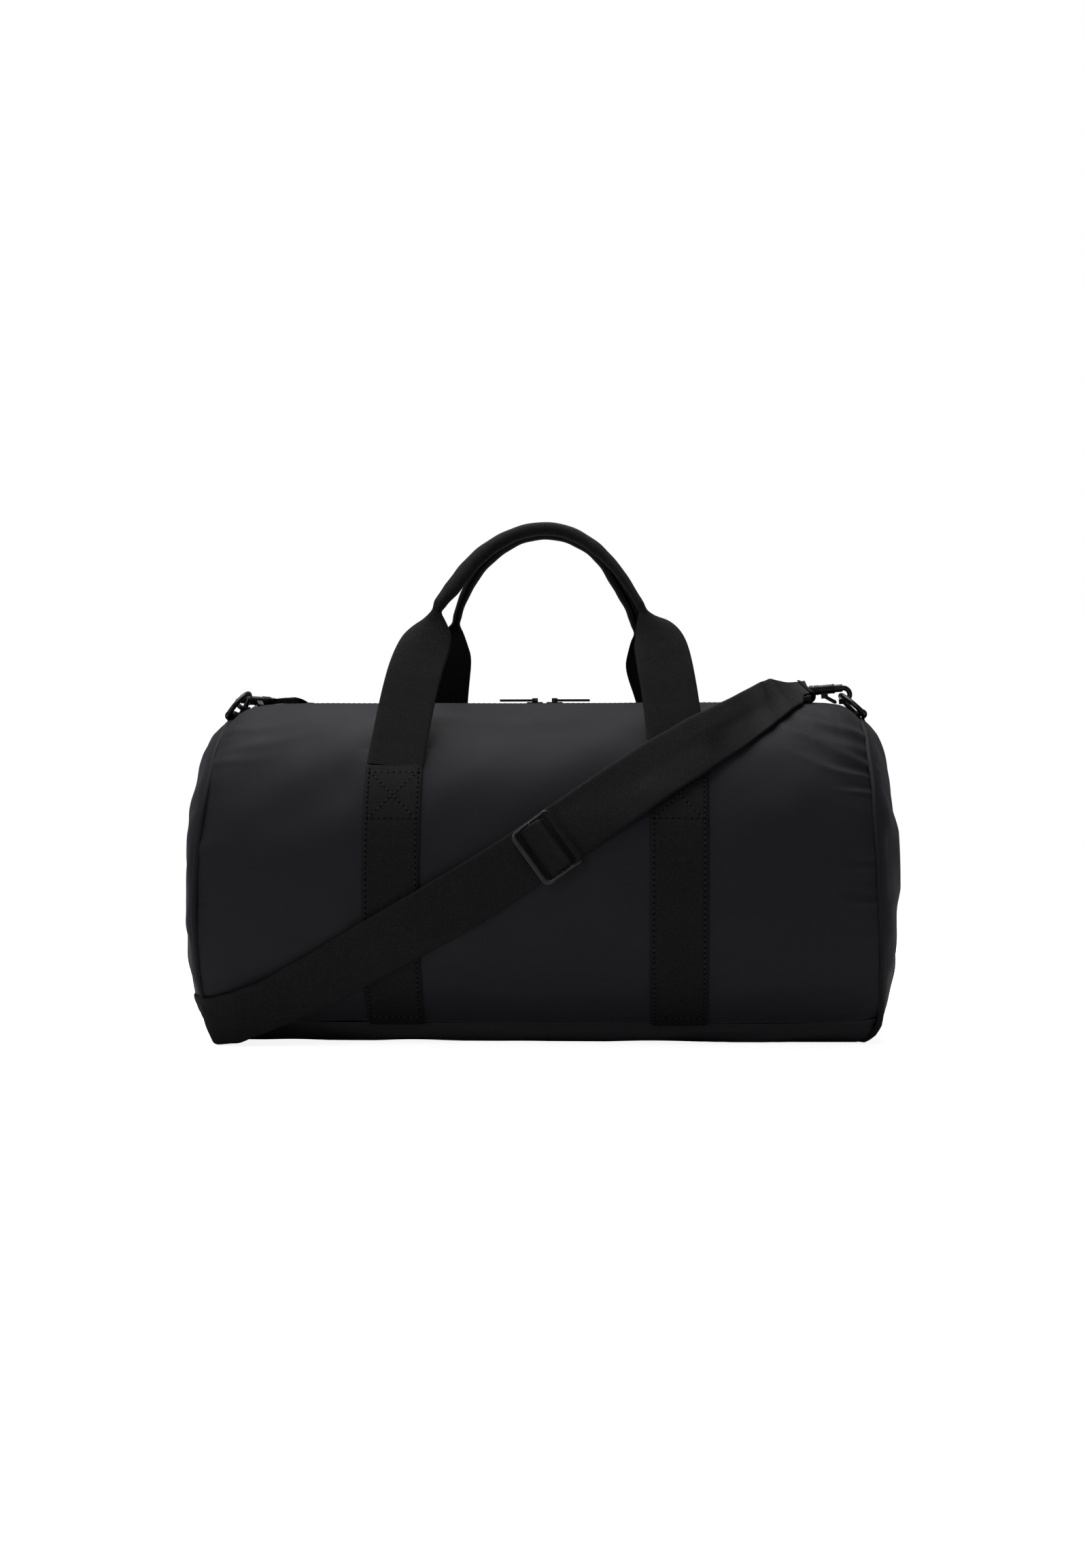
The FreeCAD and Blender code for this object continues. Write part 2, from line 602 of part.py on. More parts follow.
def pull_taut(rows, passes=60):
    """bridge the hollows: move points forward (-Y) towards their neighbours' mean"""
    for _ in range(passes):
        for before, row, after in zip(rows, rows[1:], rows[2:]):
            for i in range(ACROSS):
                mean = 0.5 * (before[i].y + after[i].y)
                if mean < row[i].y:
                    row[i].y = row[i].y + 0.9 * (mean - row[i].y)


def eye_row(side, along, out, sign=1, shift=Vector(0, 0, 0)):
    """strap row beside a hook's eye bar"""
    bar, axis, across, normal = EYES[side]
    middle = bar + axis * along + shift + normal * out
    return [middle + across * (sign * STRAP_EYE_W * (0.5 - i / (ACROSS - 1.0)))
            for i in range(ACROSS)]


def ribbon(rows, thickness, depth=0.0):
    """closed band whose outer face lies depth below the rows"""
    centres = [row[ACROSS // 2] for row in rows]
    wires = []
    for i, row in enumerate(rows):
        along = tangent(centres, i)
        normals = [unit(tangent(row, j).cross(along)) for j in range(ACROSS)]
        outer = [p - n * depth for p, n in zip(row, normals)]
        inner = [p - n * (depth + thickness) for p, n in zip(row, normals)]
        points = outer + inner[::-1]
        if i in (0, len(rows) - 1):        # the cut ends are flat
            width = outer[0] - outer[-1]
            normal = unit(along.cross(width).cross(width))
            points = [p - normal * normal.dot(p - outer[0]) for p in points]
        wires.append(polygon(points))
    return Part.makeLoft(wires, True, True)


front_rows = draped_rows(FRONT_RUN)
pull_taut(front_rows)
front_rows += [eye_row("right", -9.0, 3.2, shift=Vector(-5, 2, 2.5)),
               eye_row("right", -3.2, 3.0), eye_row("right", 0.2, 3.35)]
left_rows = [eye_row("left", 0.2, 3.35, -1), eye_row("left", -3.2, 3.0, -1)]
left_rows += draped_rows(LEFT_RUN)[::-1]
save("shoulder_strap", ribbon(left_rows + front_rows, STRAP_T))
# the webbing comes back from the right hook to the slider under the strap;
# this part is its length along the front of the bag
save("strap_return_layer", ribbon(front_rows[24:43:3], 0.5, STRAP_T + 0.15))

# ------------------------------------------------------------ strap slider
# Three-bar buckle over the strap. Local x along the strap, y across it, z outwards.
BUCKLE_LEN = 31.0
BUCKLE_W = 43.5
BUCKLE_T = 2.2
WINDOWS_X = ((-12.0, -1.6), (1.6, 11.2))
buckle_matrix = local_frame(Vector(7.2, -124.6, 134.0), Vector(0.806, 0.07, 0.588),
                            Vector(-0.585, 0.16, 0.795))[3]


def buckle_frame():
    frame = mid_box(-BUCKLE_LEN / 2, 0, BUCKLE_LEN, BUCKLE_W, BUCKLE_T)
    frame = fillet_uprights(frame, BUCKLE_T, 4.0)
    for x0, x1 in WINDOWS_X:
        frame = frame.cut(mid_box(x0, -1, x1 - x0, 37.5, 5))
    return frame


def buckle_fold():
    """half tube of webbing over the middle bar"""
    axis_z = BUCKLE_T / 2
    tube = rod_y(4.6, 36, 0, axis_z).cut(rod_y(3.2, 40, 0, axis_z))
    return tube.common(mid_box(-15, 1.0, 30, 40, 10))


save("strap_slider_frame", buckle_frame().transformed(buckle_matrix))
save("strap_slider_web_fold", buckle_fold().transformed(buckle_matrix))
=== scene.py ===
# A black cloth holdall with two carrying handles, a shoulder strap and a zip along the top.
# It stands on the floor, z = 0, with its length on X and its front towards -Y.
# Shapes are worked out in millimetres; make_mesh turns them into metres.
import json
import math
from types import SimpleNamespace

import bmesh
import bpy
import numpy as np
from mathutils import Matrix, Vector


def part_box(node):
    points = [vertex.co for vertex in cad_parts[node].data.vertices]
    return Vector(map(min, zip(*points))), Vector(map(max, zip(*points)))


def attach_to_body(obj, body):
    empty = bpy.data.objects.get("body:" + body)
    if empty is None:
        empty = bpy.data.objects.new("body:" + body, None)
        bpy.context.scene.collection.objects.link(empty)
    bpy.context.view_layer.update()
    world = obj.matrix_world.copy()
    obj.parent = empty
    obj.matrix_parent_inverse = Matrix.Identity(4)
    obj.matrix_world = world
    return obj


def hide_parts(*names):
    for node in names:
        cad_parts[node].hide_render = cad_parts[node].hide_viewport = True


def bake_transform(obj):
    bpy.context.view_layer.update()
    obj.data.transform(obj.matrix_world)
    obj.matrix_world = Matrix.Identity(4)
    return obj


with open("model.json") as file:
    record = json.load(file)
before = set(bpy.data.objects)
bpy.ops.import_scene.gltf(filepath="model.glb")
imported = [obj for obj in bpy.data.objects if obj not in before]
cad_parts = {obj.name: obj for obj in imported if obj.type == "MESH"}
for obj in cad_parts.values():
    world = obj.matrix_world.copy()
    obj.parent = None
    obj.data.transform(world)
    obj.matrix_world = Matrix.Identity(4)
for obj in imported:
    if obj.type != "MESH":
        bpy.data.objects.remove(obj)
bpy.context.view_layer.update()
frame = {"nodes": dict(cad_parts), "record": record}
MM = 0.001

# ------------------------------------------------------------------ materials


def new_material(name):
    material = bpy.data.materials.new(name)
    material.use_nodes = True
    tree = material.node_tree
    return material, tree, tree.nodes["Principled BSDF"]


def set_inputs(target, values):
    for key, value in values.items():
        target.inputs[key].default_value = value


def add_node(tree, kind, inputs=None, **properties):
    added = tree.nodes.new(kind)
    for key, value in properties.items():
        setattr(added, key, value)
    set_inputs(added, inputs or {})
    return added


def noise(tree, vector, scale, **inputs):
    added = add_node(tree, "ShaderNodeTexNoise", {"Scale": scale, **inputs})
    tree.links.new(vector, added.inputs["Vector"])
    return added.outputs["Fac"]


def colour_ramp(tree, factor, target, stops):
    """stops: (position, rgb) of the two ends"""
    added = add_node(tree, "ShaderNodeValToRGB")
    for element, (position, rgb) in zip(added.color_ramp.elements, stops):
        element.position = position
        element.color = (*rgb, 1)
    tree.links.new(factor, added.inputs["Fac"])
    tree.links.new(added.outputs["Color"], target)


def map_range(tree, value, target, low, high):
    added = add_node(tree, "ShaderNodeMapRange", {"To Min": low, "To Max": high})
    tree.links.new(value, added.inputs["Value"])
    tree.links.new(added.outputs["Result"], target)


def add_bump(tree, height, target, strength, distance):
    added = add_node(tree, "ShaderNodeBump", {"Strength": strength, "Distance": distance})
    tree.links.new(height, added.inputs["Height"])
    tree.links.new(added.outputs["Normal"], target)
    return added


def fabric(name, dark, light, rough, spec, sheen, cell, bump, wrinkle=0.0,
           grain=0.45, grain_scale=900.0):
    """Woven cloth: two crossed thread waves, soft blotches and fine dust.

    cell is the thread spacing in UV millimetres, grain the weight of the dust.
    """
    material, tree, shader = new_material(name)
    link = tree.links.new
    coords = add_node(tree, "ShaderNodeTexCoord")
    threads = []
    for direction in "XY":
        wave = add_node(tree, "ShaderNodeTexWave",
                        {"Scale": 0.314 / cell, "Distortion": 0.6, "Detail": 1.0},
                        wave_type="BANDS", bands_direction=direction, wave_profile="SIN")
        link(coords.outputs["UV"], wave.inputs["Vector"])
        threads.append(wave.outputs["Fac"])
    weave = add_node(tree, "ShaderNodeMath", operation="MULTIPLY")
    link(threads[0], weave.inputs[0])
    link(threads[1], weave.inputs[1])
    blotches = noise(tree, coords.outputs["Object"], 30.0, Detail=3.0)
    dust = noise(tree, coords.outputs["Object"], grain_scale, Detail=2.0)
    mixed = weave.outputs[0]
    for pattern, weight in ((blotches, 0.55), (dust, grain)):
        step = add_node(tree, "ShaderNodeMath", {1: weight}, operation="MULTIPLY_ADD")
        link(pattern, step.inputs[0])
        link(mixed, step.inputs[2])
        mixed = step.outputs[0]
    # heavier dust lifts the mix, so the ramp moves up with it
    shift = 0.5 * (grain - 0.45)
    colour_ramp(tree, mixed, shader.inputs["Base Color"],
                ((0.25 + shift, dark), (min(1.0, 1.0 + shift), light)))
    map_range(tree, blotches, shader.inputs["Roughness"], low=rough - 0.07, high=rough + 0.09)
    set_inputs(shader, {"Specular IOR Level": spec, "Sheen Weight": sheen,
                        "Sheen Roughness": 0.45, "Sheen Tint": (0.8, 0.78, 0.9, 1)})
    thread_bump = add_bump(tree, weave.outputs[0], shader.inputs["Normal"],
                           strength=bump, distance=0.0003)
    if wrinkle:
        wrinkles = noise(tree, coords.outputs["Object"], 60.0, Detail=4.0)
        add_bump(tree, wrinkles, thread_bump.inputs["Normal"], strength=wrinkle, distance=0.001)
    return material


def coated(name, dark, light, rough, metallic, scale=120.0, bump=0.06, spec=0.5):
    """Mottled metal or nylon with a very fine grain."""
    material, tree, shader = new_material(name)
    coords = add_node(tree, "ShaderNodeTexCoord")
    mottle = noise(tree, coords.outputs["Object"], scale, Detail=5.0)
    colour_ramp(tree, mottle, shader.inputs["Base Color"], ((0.3, dark), (0.75, light)))
    map_range(tree, mottle, shader.inputs["Roughness"], low=rough - 0.08, high=rough + 0.14)
    set_inputs(shader, {"Metallic": metallic, "Specular IOR Level": spec})
    grain = noise(tree, coords.outputs["Object"], 1500.0)
    add_bump(tree, grain, shader.inputs["Normal"], strength=bump, distance=0.0002)
    return material


# coarse weave with heavy dust, shared by both webbings
WEBBING_WEAVE = dict(spec=0.12, sheen=0.0, cell=0.8, bump=0.8, grain=1.0, grain_scale=620.0)

MATERIALS = {
    "panel": fabric(
        "panel_cloth", dark=(0.0096, 0.0093, 0.0120), light=(0.0166, 0.0162, 0.0200),
        rough=0.62, spec=0.10, sheen=0.05, cell=0.5, bump=0.10, wrinkle=0.08),
    "base_fabric": fabric(
        "base_cloth", dark=(0.015, 0.015, 0.018), light=(0.027, 0.027, 0.031),
        rough=0.6, spec=0.2, sheen=0.05, cell=0.7, bump=0.2, wrinkle=0.06),
    "piping": fabric(
        "piping_cloth", dark=(0.006, 0.006, 0.007), light=(0.012, 0.012, 0.014),
        rough=0.62, spec=0.12, sheen=0.04, cell=0.7, bump=0.4),
    "lining": fabric(
        "lining_cloth", dark=(0.02, 0.02, 0.02), light=(0.04, 0.04, 0.042),
        rough=0.7, spec=0.3, sheen=0.05, cell=0.6, bump=0.2),
    "board": fabric(
        "board_plastic", dark=(0.03, 0.03, 0.03), light=(0.06, 0.06, 0.06),
        rough=0.6, spec=0.4, sheen=0.0, cell=2.0, bump=0.1),
    "zip_tape": fabric(
        "zip_tape_cloth", dark=(0.006, 0.006, 0.007), light=(0.014, 0.014, 0.015),
        rough=0.75, spec=0.2, sheen=0.05, cell=0.6, bump=0.5),
    "zip_coil": coated(
        "zip_coil_nylon", dark=(0.010, 0.010, 0.011), light=(0.02, 0.02, 0.021),
        rough=0.38, metallic=0.0, scale=200.0, bump=0.03),
    "webbing": fabric(
        "webbing_weave", dark=(0.0006, 0.0006, 0.0006), light=(0.0086, 0.0086, 0.0088),
        rough=0.58, **WEBBING_WEAVE),
    "strap_webbing": fabric(
        "strap_weave", dark=(0.0006, 0.0006, 0.0007), light=(0.0082, 0.0082, 0.0085),
        rough=0.56, **WEBBING_WEAVE),
    "stitch": fabric(
        "stitch_thread", dark=(0.006, 0.006, 0.006), light=(0.016, 0.016, 0.017),
        rough=0.5, spec=0.2, sheen=0.03, cell=0.4, bump=0.3),
    # painted shade: near-black colour standing in for the shade inside the needle holes
    "pit": fabric(
        "needle_hole_painted_shade", dark=(0.0006, 0.0006, 0.0006), light=(0.0012, 0.0012, 0.0012),
        rough=0.9, spec=0.02, sheen=0.0, cell=0.4, bump=0.1),
    # painted shade: darker copy of the slider colour for the shaded bar towards the right hook
    "slider_painted_shade": coated(
        "slider_bar_painted_shade", dark=(0.004, 0.004, 0.0045), light=(0.009, 0.009, 0.0095),
        rough=0.5, metallic=0.05, spec=0.12),
    "dark_metal": coated(
        "dark_metal_coat", dark=(0.016, 0.017, 0.017), light=(0.040, 0.042, 0.042),
        rough=0.28, metallic=0.9),
    "slider_metal": coated(
        "slider_black", dark=(0.006, 0.006, 0.007), light=(0.014, 0.014, 0.015),
        rough=0.26, metallic=0.15),
}

# ------------------------------------------------------------------ mesh helpers


def make_mesh(name, points, faces, material, uv):
    """smooth object from points in mm; uv holds one pair per point"""
    mesh = bpy.data.meshes.new(name)
    mesh.from_pydata((np.asarray(points, float) * MM).tolist(), [], faces)
    mesh.update()
    layer = mesh.uv_layers.new(name="UVMap")
    corners = np.zeros(len(mesh.loops), np.int32)
    mesh.loops.foreach_get("vertex_index", corners)
    layer.data.foreach_set("uv", np.asarray(uv, np.float32)[corners].ravel())
    mesh.polygons.foreach_set("use_smooth", np.ones(len(mesh.polygons), bool))
    obj = bpy.data.objects.new(name, mesh)
    bpy.context.scene.collection.objects.link(obj)
    mesh.materials.append(material)
    work = bmesh.new()
    work.from_mesh(mesh)
    bmesh.ops.recalc_face_normals(work, faces=work.faces)
    work.to_mesh(mesh)
    work.free()
    return obj


def attach(obj, replaces=None, rides="bag"):
    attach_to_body(obj, rides)
    if replaces:
        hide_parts(replaces)


def grid_faces(n, m, close_u=False, close_v=False, base=0, flip=False):
    """quads of an n by m grid of points, as a list"""
    i = np.arange(n if close_u else n - 1)
    j = np.arange(m if close_v else m - 1)
    I, J = np.meshgrid(i, j, indexing="ij")
    I2, J2 = (I + 1) % n, (J + 1) % m
    quads = np.stack([I * m + J, I2 * m + J, I2 * m + J2, I * m + J2], -1).reshape(-1, 4) + base
    return (quads[:, ::-1] if flip else quads).tolist()


def end_caps(rings, sides, base=0):
    """one polygon over the first ring and one over the last"""
    last = base + (rings - 1) * sides
    return [list(range(base, base + sides)), list(range(last, last + sides))[::-1]]


def ring_walls(rings, sides, base):
    faces = []
    for i in range(rings - 1):
        for j in range(sides):
            a, b = base + i * sides, base + (i + 1) * sides
            k = (j + 1) % sides
            faces.append([a + j, a + k, b + k, b + j])
    return faces


def shell(name, outer, inner, uv, material):
    """two n by m grids closed along their rim"""
    n, m, _ = outer.shape
    rim = ([i * m for i in range(n)] + [(n - 1) * m + j for j in range(1, m)]
           + [i * m + m - 1 for i in range(n - 2, -1, -1)] + list(range(m - 2, 0, -1)))
    edge = [[a, b, b + n * m, a + n * m] for a, b in zip(rim, rim[1:] + rim[:1])]
    faces = grid_faces(n, m) + grid_faces(n, m, base=n * m, flip=True) + edge
    points = np.vstack([outer.reshape(-1, 3), inner.reshape(-1, 3)])
    return make_mesh(name, points, faces, material, np.vstack([uv.reshape(-1, 2)] * 2))


def arc_lengths(points):
    """distance along a line of points"""
    return np.r_[0, np.cumsum(np.linalg.norm(np.diff(points, axis=0), axis=1))]


def along(distance, lengths, values):
    """3-vectors of values read at a distance along a line"""
    return np.stack([np.interp(distance, lengths, values[:, axis]) for axis in range(3)], -1)


def unit(vector):
    vector = np.asarray(vector, float)
    return vector / np.linalg.norm(vector)


def unit_rows(vectors):
    return vectors / np.linalg.norm(vectors, axis=1, keepdims=True)


def angles(count):
    """even angles round a circle, without the repeated last one"""
    return np.linspace(0, 2 * np.pi, count + 1)[:-1]


def smoothstep(value, start, end):
    t = np.clip((value - start) / (end - start), 0, 1)
    return t * t * (3 - 2 * t)


def spline(rows, count):
    """natural cubic resample of rows (k, ..., 3) at even steps of arc length"""
    rows = np.asarray(rows, float)
    k = len(rows)
    flat = rows.reshape(k, -1)
    knots = arc_lengths(rows.reshape(k, -1, 3).mean(1))
    steps = np.linspace(0, knots[-1], count)
    gaps = np.diff(knots)
    matrix = np.zeros((k, k))
    target = np.zeros_like(flat)
    matrix[0, 0] = matrix[-1, -1] = 1
    for i in range(1, k - 1):
        matrix[i, i - 1] = gaps[i - 1]
        matrix[i, i] = 2 * (gaps[i - 1] + gaps[i])
        matrix[i, i + 1] = gaps[i]
        target[i] = 6 * ((flat[i + 1] - flat[i]) / gaps[i] - (flat[i] - flat[i - 1]) / gaps[i - 1])
    bend = np.linalg.solve(matrix, target)
    i = np.clip(np.searchsorted(knots, steps) - 1, 0, k - 2)
    after = (knots[i + 1] - steps)[:, None]
    before = (steps - knots[i])[:, None]
    gap = gaps[i][:, None]
    out = ((bend[i] * after ** 3 + bend[i + 1] * before ** 3) / (6 * gap)
           + (flat[i] / gap - bend[i] * gap / 6) * after
           + (flat[i + 1] / gap - bend[i + 1] * gap / 6) * before)
    return out.reshape((count,) + rows.shape[1:]), steps


def resample_across(rows, count):
    """Catmull-Rom resample of (n, k, 3) along its second axis"""
    k = rows.shape[1]
    s = np.linspace(0, k - 1, count)
    i = np.clip(s.astype(int), 0, k - 2)
    f = (s - i)[None, :, None]
    p0, p1 = rows[:, np.maximum(i - 1, 0)], rows[:, i]
    p2, p3 = rows[:, i + 1], rows[:, np.minimum(i + 2, k - 1)]
    return 0.5 * (2 * p1 + (p2 - p0) * f + (2 * p0 - 5 * p1 + 4 * p2 - p3) * f ** 2
                  + (3 * p1 - p0 - 3 * p2 + p3) * f ** 3)


def grid_normals(points):
    normals = np.cross(np.gradient(points, axis=0), np.gradient(points, axis=1))
    return normals / np.maximum(np.linalg.norm(normals, axis=-1, keepdims=True), 1e-9)


def facing(normals, index, direction):
    """normals, turned over if the one at index points against direction"""
    return -normals if np.dot(normals[index], direction) < 0 else normals


def band(name, points, normals, thick, material, width=38.0, grooves=()):
    """Closed ribbed webbing.

    points (n, m, 3) is the outer face, normals its outward normals;
    grooves: (place across, width, depth) of hollows along it.
    """
    n, m, _ = points.shape
    s = arc_lengths(points.mean(1))
    x = np.linspace(-1, 1, m)
    across = x * width / 2
    edge = np.clip(1 - np.abs(x) ** 14, 0, 1)
    # 1.5 mm ribs, half a step out of phase in every other 2 mm column
    phase = np.where((np.round(across / 2.0).astype(int) % 2)[None, :] == 0, 0, np.pi)
    ribs = 0.13 * np.cos(2 * np.pi * s[:, None] / 1.5 + phase)
    ribs = ribs + (0.06 * np.sin(0.21 * s[:, None] + 1.3 * np.sin(0.05 * s[:, None]))
                   * (1 - x[None, :] ** 2))
    selvedge = 0.10 * np.exp(-((np.abs(across) - (width / 2 - 1.6)) / 0.7) ** 2)
    for place, groove_width, depth in grooves:
        ribs = ribs - depth * np.exp(-((across - place) / groove_width) ** 2)[None, :]
    ribs = ribs * edge
    height = (ribs + selvedge[None, :])[:, :, None]
    rounding = 0.45 * thick * (1 - edge)[None, :, None]
    outer = points + normals * (height - rounding)
    inner = points - normals * (thick - rounding - ribs[:, :, None] * 0.5)
    uv = np.zeros((n, 2 * m, 2))
    uv[:, :, 0] = s[:, None]
    uv[:, :m, 1] = across[None, :]
    uv[:, m:, 1] = across[None, ::-1]
    return make_mesh(name, np.concatenate([outer, inner[:, ::-1]], 1).reshape(-1, 3),
                     grid_faces(n, 2 * m, close_v=True) + end_caps(n, 2 * m),
                     material, uv.reshape(-1, 2))


STITCH_PITCH = 3.7
STITCH_LENGTH = 2.9
# thread outline: place along the half length, share of the radius
STITCH_PROFILE = [(-1.0, 0.15), (-0.8, 0.75), (-0.35, 1.0), (0.35, 1.0), (0.8, 0.75), (1.0, 0.15)]
# needle hole rings: height over the cloth, share of the radius
HOLE_RINGS = ((0.24, 0.55), (0.12, 1.0), (-0.5, 0.9))
HOLE_R = 0.62


def stitches(name, lines, radius=0.34, lift=0.12):
    """lines: (points, normals) pairs; one small thread loop per stitch"""
    points, faces = [], []
    sides, rings = 6, len(STITCH_PROFILE)
    for line, normals in lines:
        lengths = arc_lengths(line)
        count = max(1, int(lengths[-1] / STITCH_PITCH))
        for middle in (np.arange(count) + 0.5) * lengths[-1] / count:
            start = along(middle - STITCH_LENGTH / 2, lengths, line)
            end = along(middle + STITCH_LENGTH / 2, lengths, line)
            normal = unit(along(middle, lengths, normals))
            size = np.linalg.norm(end - start)
            tangent = (end - start) / size
            sideways = np.cross(normal, tangent)
            centre = (start + end) / 2 + normal * lift
            base = len(points)
            for u, share in STITCH_PROFILE:
                sag = -0.35 * u * u
                for a in angles(sides):
                    points.append(centre + tangent * (u * size / 2)
                                  + sideways * (radius * share * math.cos(a))
                                  + normal * (radius * share * math.sin(a) * 0.8 + sag))
            faces += ring_walls(rings, sides, base)
            faces += [cap[::-1] for cap in end_caps(rings, sides, base)]
    return make_mesh(name, points, faces, MATERIALS["stitch"], np.asarray(points)[:, :2])


def painted_hole_shade(name, lines):
    """painted shade: small near-black blobs where the thread goes down, standing in for the shade
    in the needle holes
    """
    points, faces = [], []
    sides, rings = 8, len(HOLE_RINGS)
    for line, normals in lines:
        lengths = arc_lengths(line)
        count = max(1, int(lengths[-1] / STITCH_PITCH))
        for place in np.arange(count + 1) * lengths[-1] / count:
            centre = along(place, lengths, line)
            tangent = unit(along(min(place + 0.5, lengths[-1]), lengths, line)
                           - along(max(place - 0.5, 0), lengths, line))
            normal = unit(along(place, lengths, normals))
            sideways = unit(np.cross(normal, tangent))
            base = len(points)
            for level, share in HOLE_RINGS:
                for a in angles(sides):
                    points.append(centre + normal * level
                                  + tangent * (HOLE_R * share * math.cos(a))
                                  + sideways * (HOLE_R * share * 0.85 * math.sin(a)))
            faces += ring_walls(rings, sides, base) + end_caps(rings, sides, base)
    return make_mesh(name, points, faces, MATERIALS["pit"], np.asarray(points)[:, :2])


def tube(name, path, radius, material, closed=False, sides=14, ribs=0.0):
    """round cord along a path; radius is one number or one per point"""
    path = np.asarray(path, float)
    n = len(path)
    if closed:
        tangents = np.roll(path, -1, 0) - np.roll(path, 1, 0)
    else:
        tangents = np.gradient(path, axis=0)
    tangents = unit_rows(tangents)
    first = np.zeros_like(tangents)
    u = unit(np.cross(tangents[0], [0.31, 0.52, 0.8]))
    for i in range(n):
        u = unit(u - tangents[i] * np.dot(u, tangents[i]))
        first[i] = u
    second = np.cross(tangents, first)
    a = angles(sides)
    s = arc_lengths(path)
    radii = np.full(n, radius) + ribs * np.cos(2 * np.pi * s / 1.3)
    points = path[:, None] + radii[:, None, None] * (
        first[:, None] * np.cos(a)[None, :, None] + second[:, None] * np.sin(a)[None, :, None])
    faces = grid_faces(n, sides, close_u=closed, close_v=True)
    if not closed:
        faces += end_caps(n, sides)
    uv = np.zeros((n, sides, 2))
    uv[:, :, 0] = s[:, None]
    uv[:, :, 1] = (a * np.mean(radii))[None, :]
    return make_mesh(name, points.reshape(-1, 3), faces, material, uv.reshape(-1, 2))


# ------------------------------------------------------------------ bag shape
MID_Z = 115.0        # height of the widest level
LOW_R = 119.5        # height of the rounded lower half
LOW_POWER = 2.6      # superellipse power of the lower half
END_X = 221.0        # nominal place of the end seams
END_SECTION_X = 222.0
SEAM_Z = 15.0        # base seam
# half depth and top height against distance from the middle
DEPTH = ([0, 130, 170, 200, 222], [120.0, 120.0, 118.5, 116.0, 113.0])
TOPS = ([0, 160, 186, 198, 206, 211, 216, 219.5, 222],
        [236.0, 236.0, 235.9, 235.3, 234.0, 232.3, 229.3, 226.6, 224.0])
# end seams: height, distance from the middle
SEAM_RIGHT = ([0, 4, 8, 15, 30, 60, 100, 160, 209, 236],
              [216.5, 222.0, 225.2, 227.2, 227.4, 226.0, 224.3, 222.0, 220.8, 221.0])
SEAM_LEFT = ([0, 4, 8, 15, 30, 48, 66, 96, 130, 155, 175, 200, 236],
             [213.0, 217.0, 219.4, 221.8, 224.6, 226.4, 227.0, 227.0, 225.7, 223.6, 222.3,
              221.3, 221.0])


def half_depth(x):
    return float(np.interp(abs(x), *DEPTH))


def top_z(x):
    return float(np.interp(abs(x), *TOPS))


def seam_x(sign, z):
    return np.interp(z, *(SEAM_RIGHT if sign > 0 else SEAM_LEFT))


def surf_y(x, z):
    """half depth of the bag at a height, -1 above its top"""
    if z >= MID_Z:
        r = (z - MID_Z) / (top_z(x) - MID_Z)
        return half_depth(x) * math.sqrt(1 - r * r) if r < 1 else -1.0
    r = (MID_Z - z) / LOW_R
    return half_depth(x) * max(0.0, 1 - r ** LOW_POWER) ** (1 / LOW_POWER)


def dome(k, seam, low):
    """X distance of an end panel; k runs 0 to 1 from its centre to its seam"""
    bulge = np.sqrt(np.maximum(0.0, 1 - k ** 2.2))
    return (1 - k ** 4) * 225.0 + k ** 4 * seam + 1.4 + 19.5 * bulge * (0.72 + 0.28 * low)


def left_dome_x(y, z):
    """X distance of the left end panel at a place on it"""
    half_width, height = 113.0, 106.0
    if z >= MID_Z:
        k = math.sqrt((y / half_width) ** 2 + ((z - MID_Z) / height) ** 2)
    else:
        k = (abs(y / half_width) ** LOW_POWER
             + ((MID_Z - z) / LOW_R) ** LOW_POWER) ** (1 / LOW_POWER)
    k = min(k, 1.0)
    rim_z = MID_Z + (z - MID_Z) / max(k, 0.3)
    low = min(1.0, max(0.0, (rim_z - 5) / 70.0))
    return float(dome(k, seam_x(-1, rim_z), low))


def section_curve(x, angle, inset=0.0):
    """(y, z) of the cross section at x; angle 0 is +Y, a quarter turn is up"""
    c, s = np.cos(angle), np.sin(angle)
    power = 2 / LOW_POWER
    y = (half_depth(x) - inset) * np.where(s >= 0, c, np.sign(c) * np.abs(c) ** power)
    z = MID_Z + np.where(s >= 0, (top_z(x) - MID_Z - inset) * s,
                         -(LOW_R - inset) * np.abs(s) ** power)
    return y, z


def section(x):
    """half section from the floor centre up to the top centre: (|y|, z)"""
    y, z = section_curve(x, np.linspace(-np.pi / 2, np.pi / 2, 1600))
    return y, np.maximum(z, 0.0)


def even_steps(y, z, count):
    lengths = arc_lengths(np.stack([y, z], 1))
    steps = np.linspace(0, lengths[-1], count)
    return np.interp(steps, lengths, y), np.interp(steps, lengths, z), steps


def stretch(points):
    """carries the cloth out to the end seams, and lifts the base seam a little at its ends"""
    x, z = points[..., 0].copy(), points[..., 2].copy()
    extra = np.where(x > 0, seam_x(1, z), seam_x(-1, z)) - END_X
    points[..., 0] = x + np.sign(x) * extra * smoothstep(np.abs(x), 125, END_X)
    u = np.clip((np.abs(x) - 178) / 43.0, 0, 1)
    points[..., 2] = z + 4.0 * u * u * np.exp(-((z - SEAM_Z) / 9.0) ** 2)
    return points


# ------------------------------------------------------------------ cloth relief
FRONT_WEB_X = (-96.0, 94.0)
REAR_WEB_X = (-86.0, 88.0)
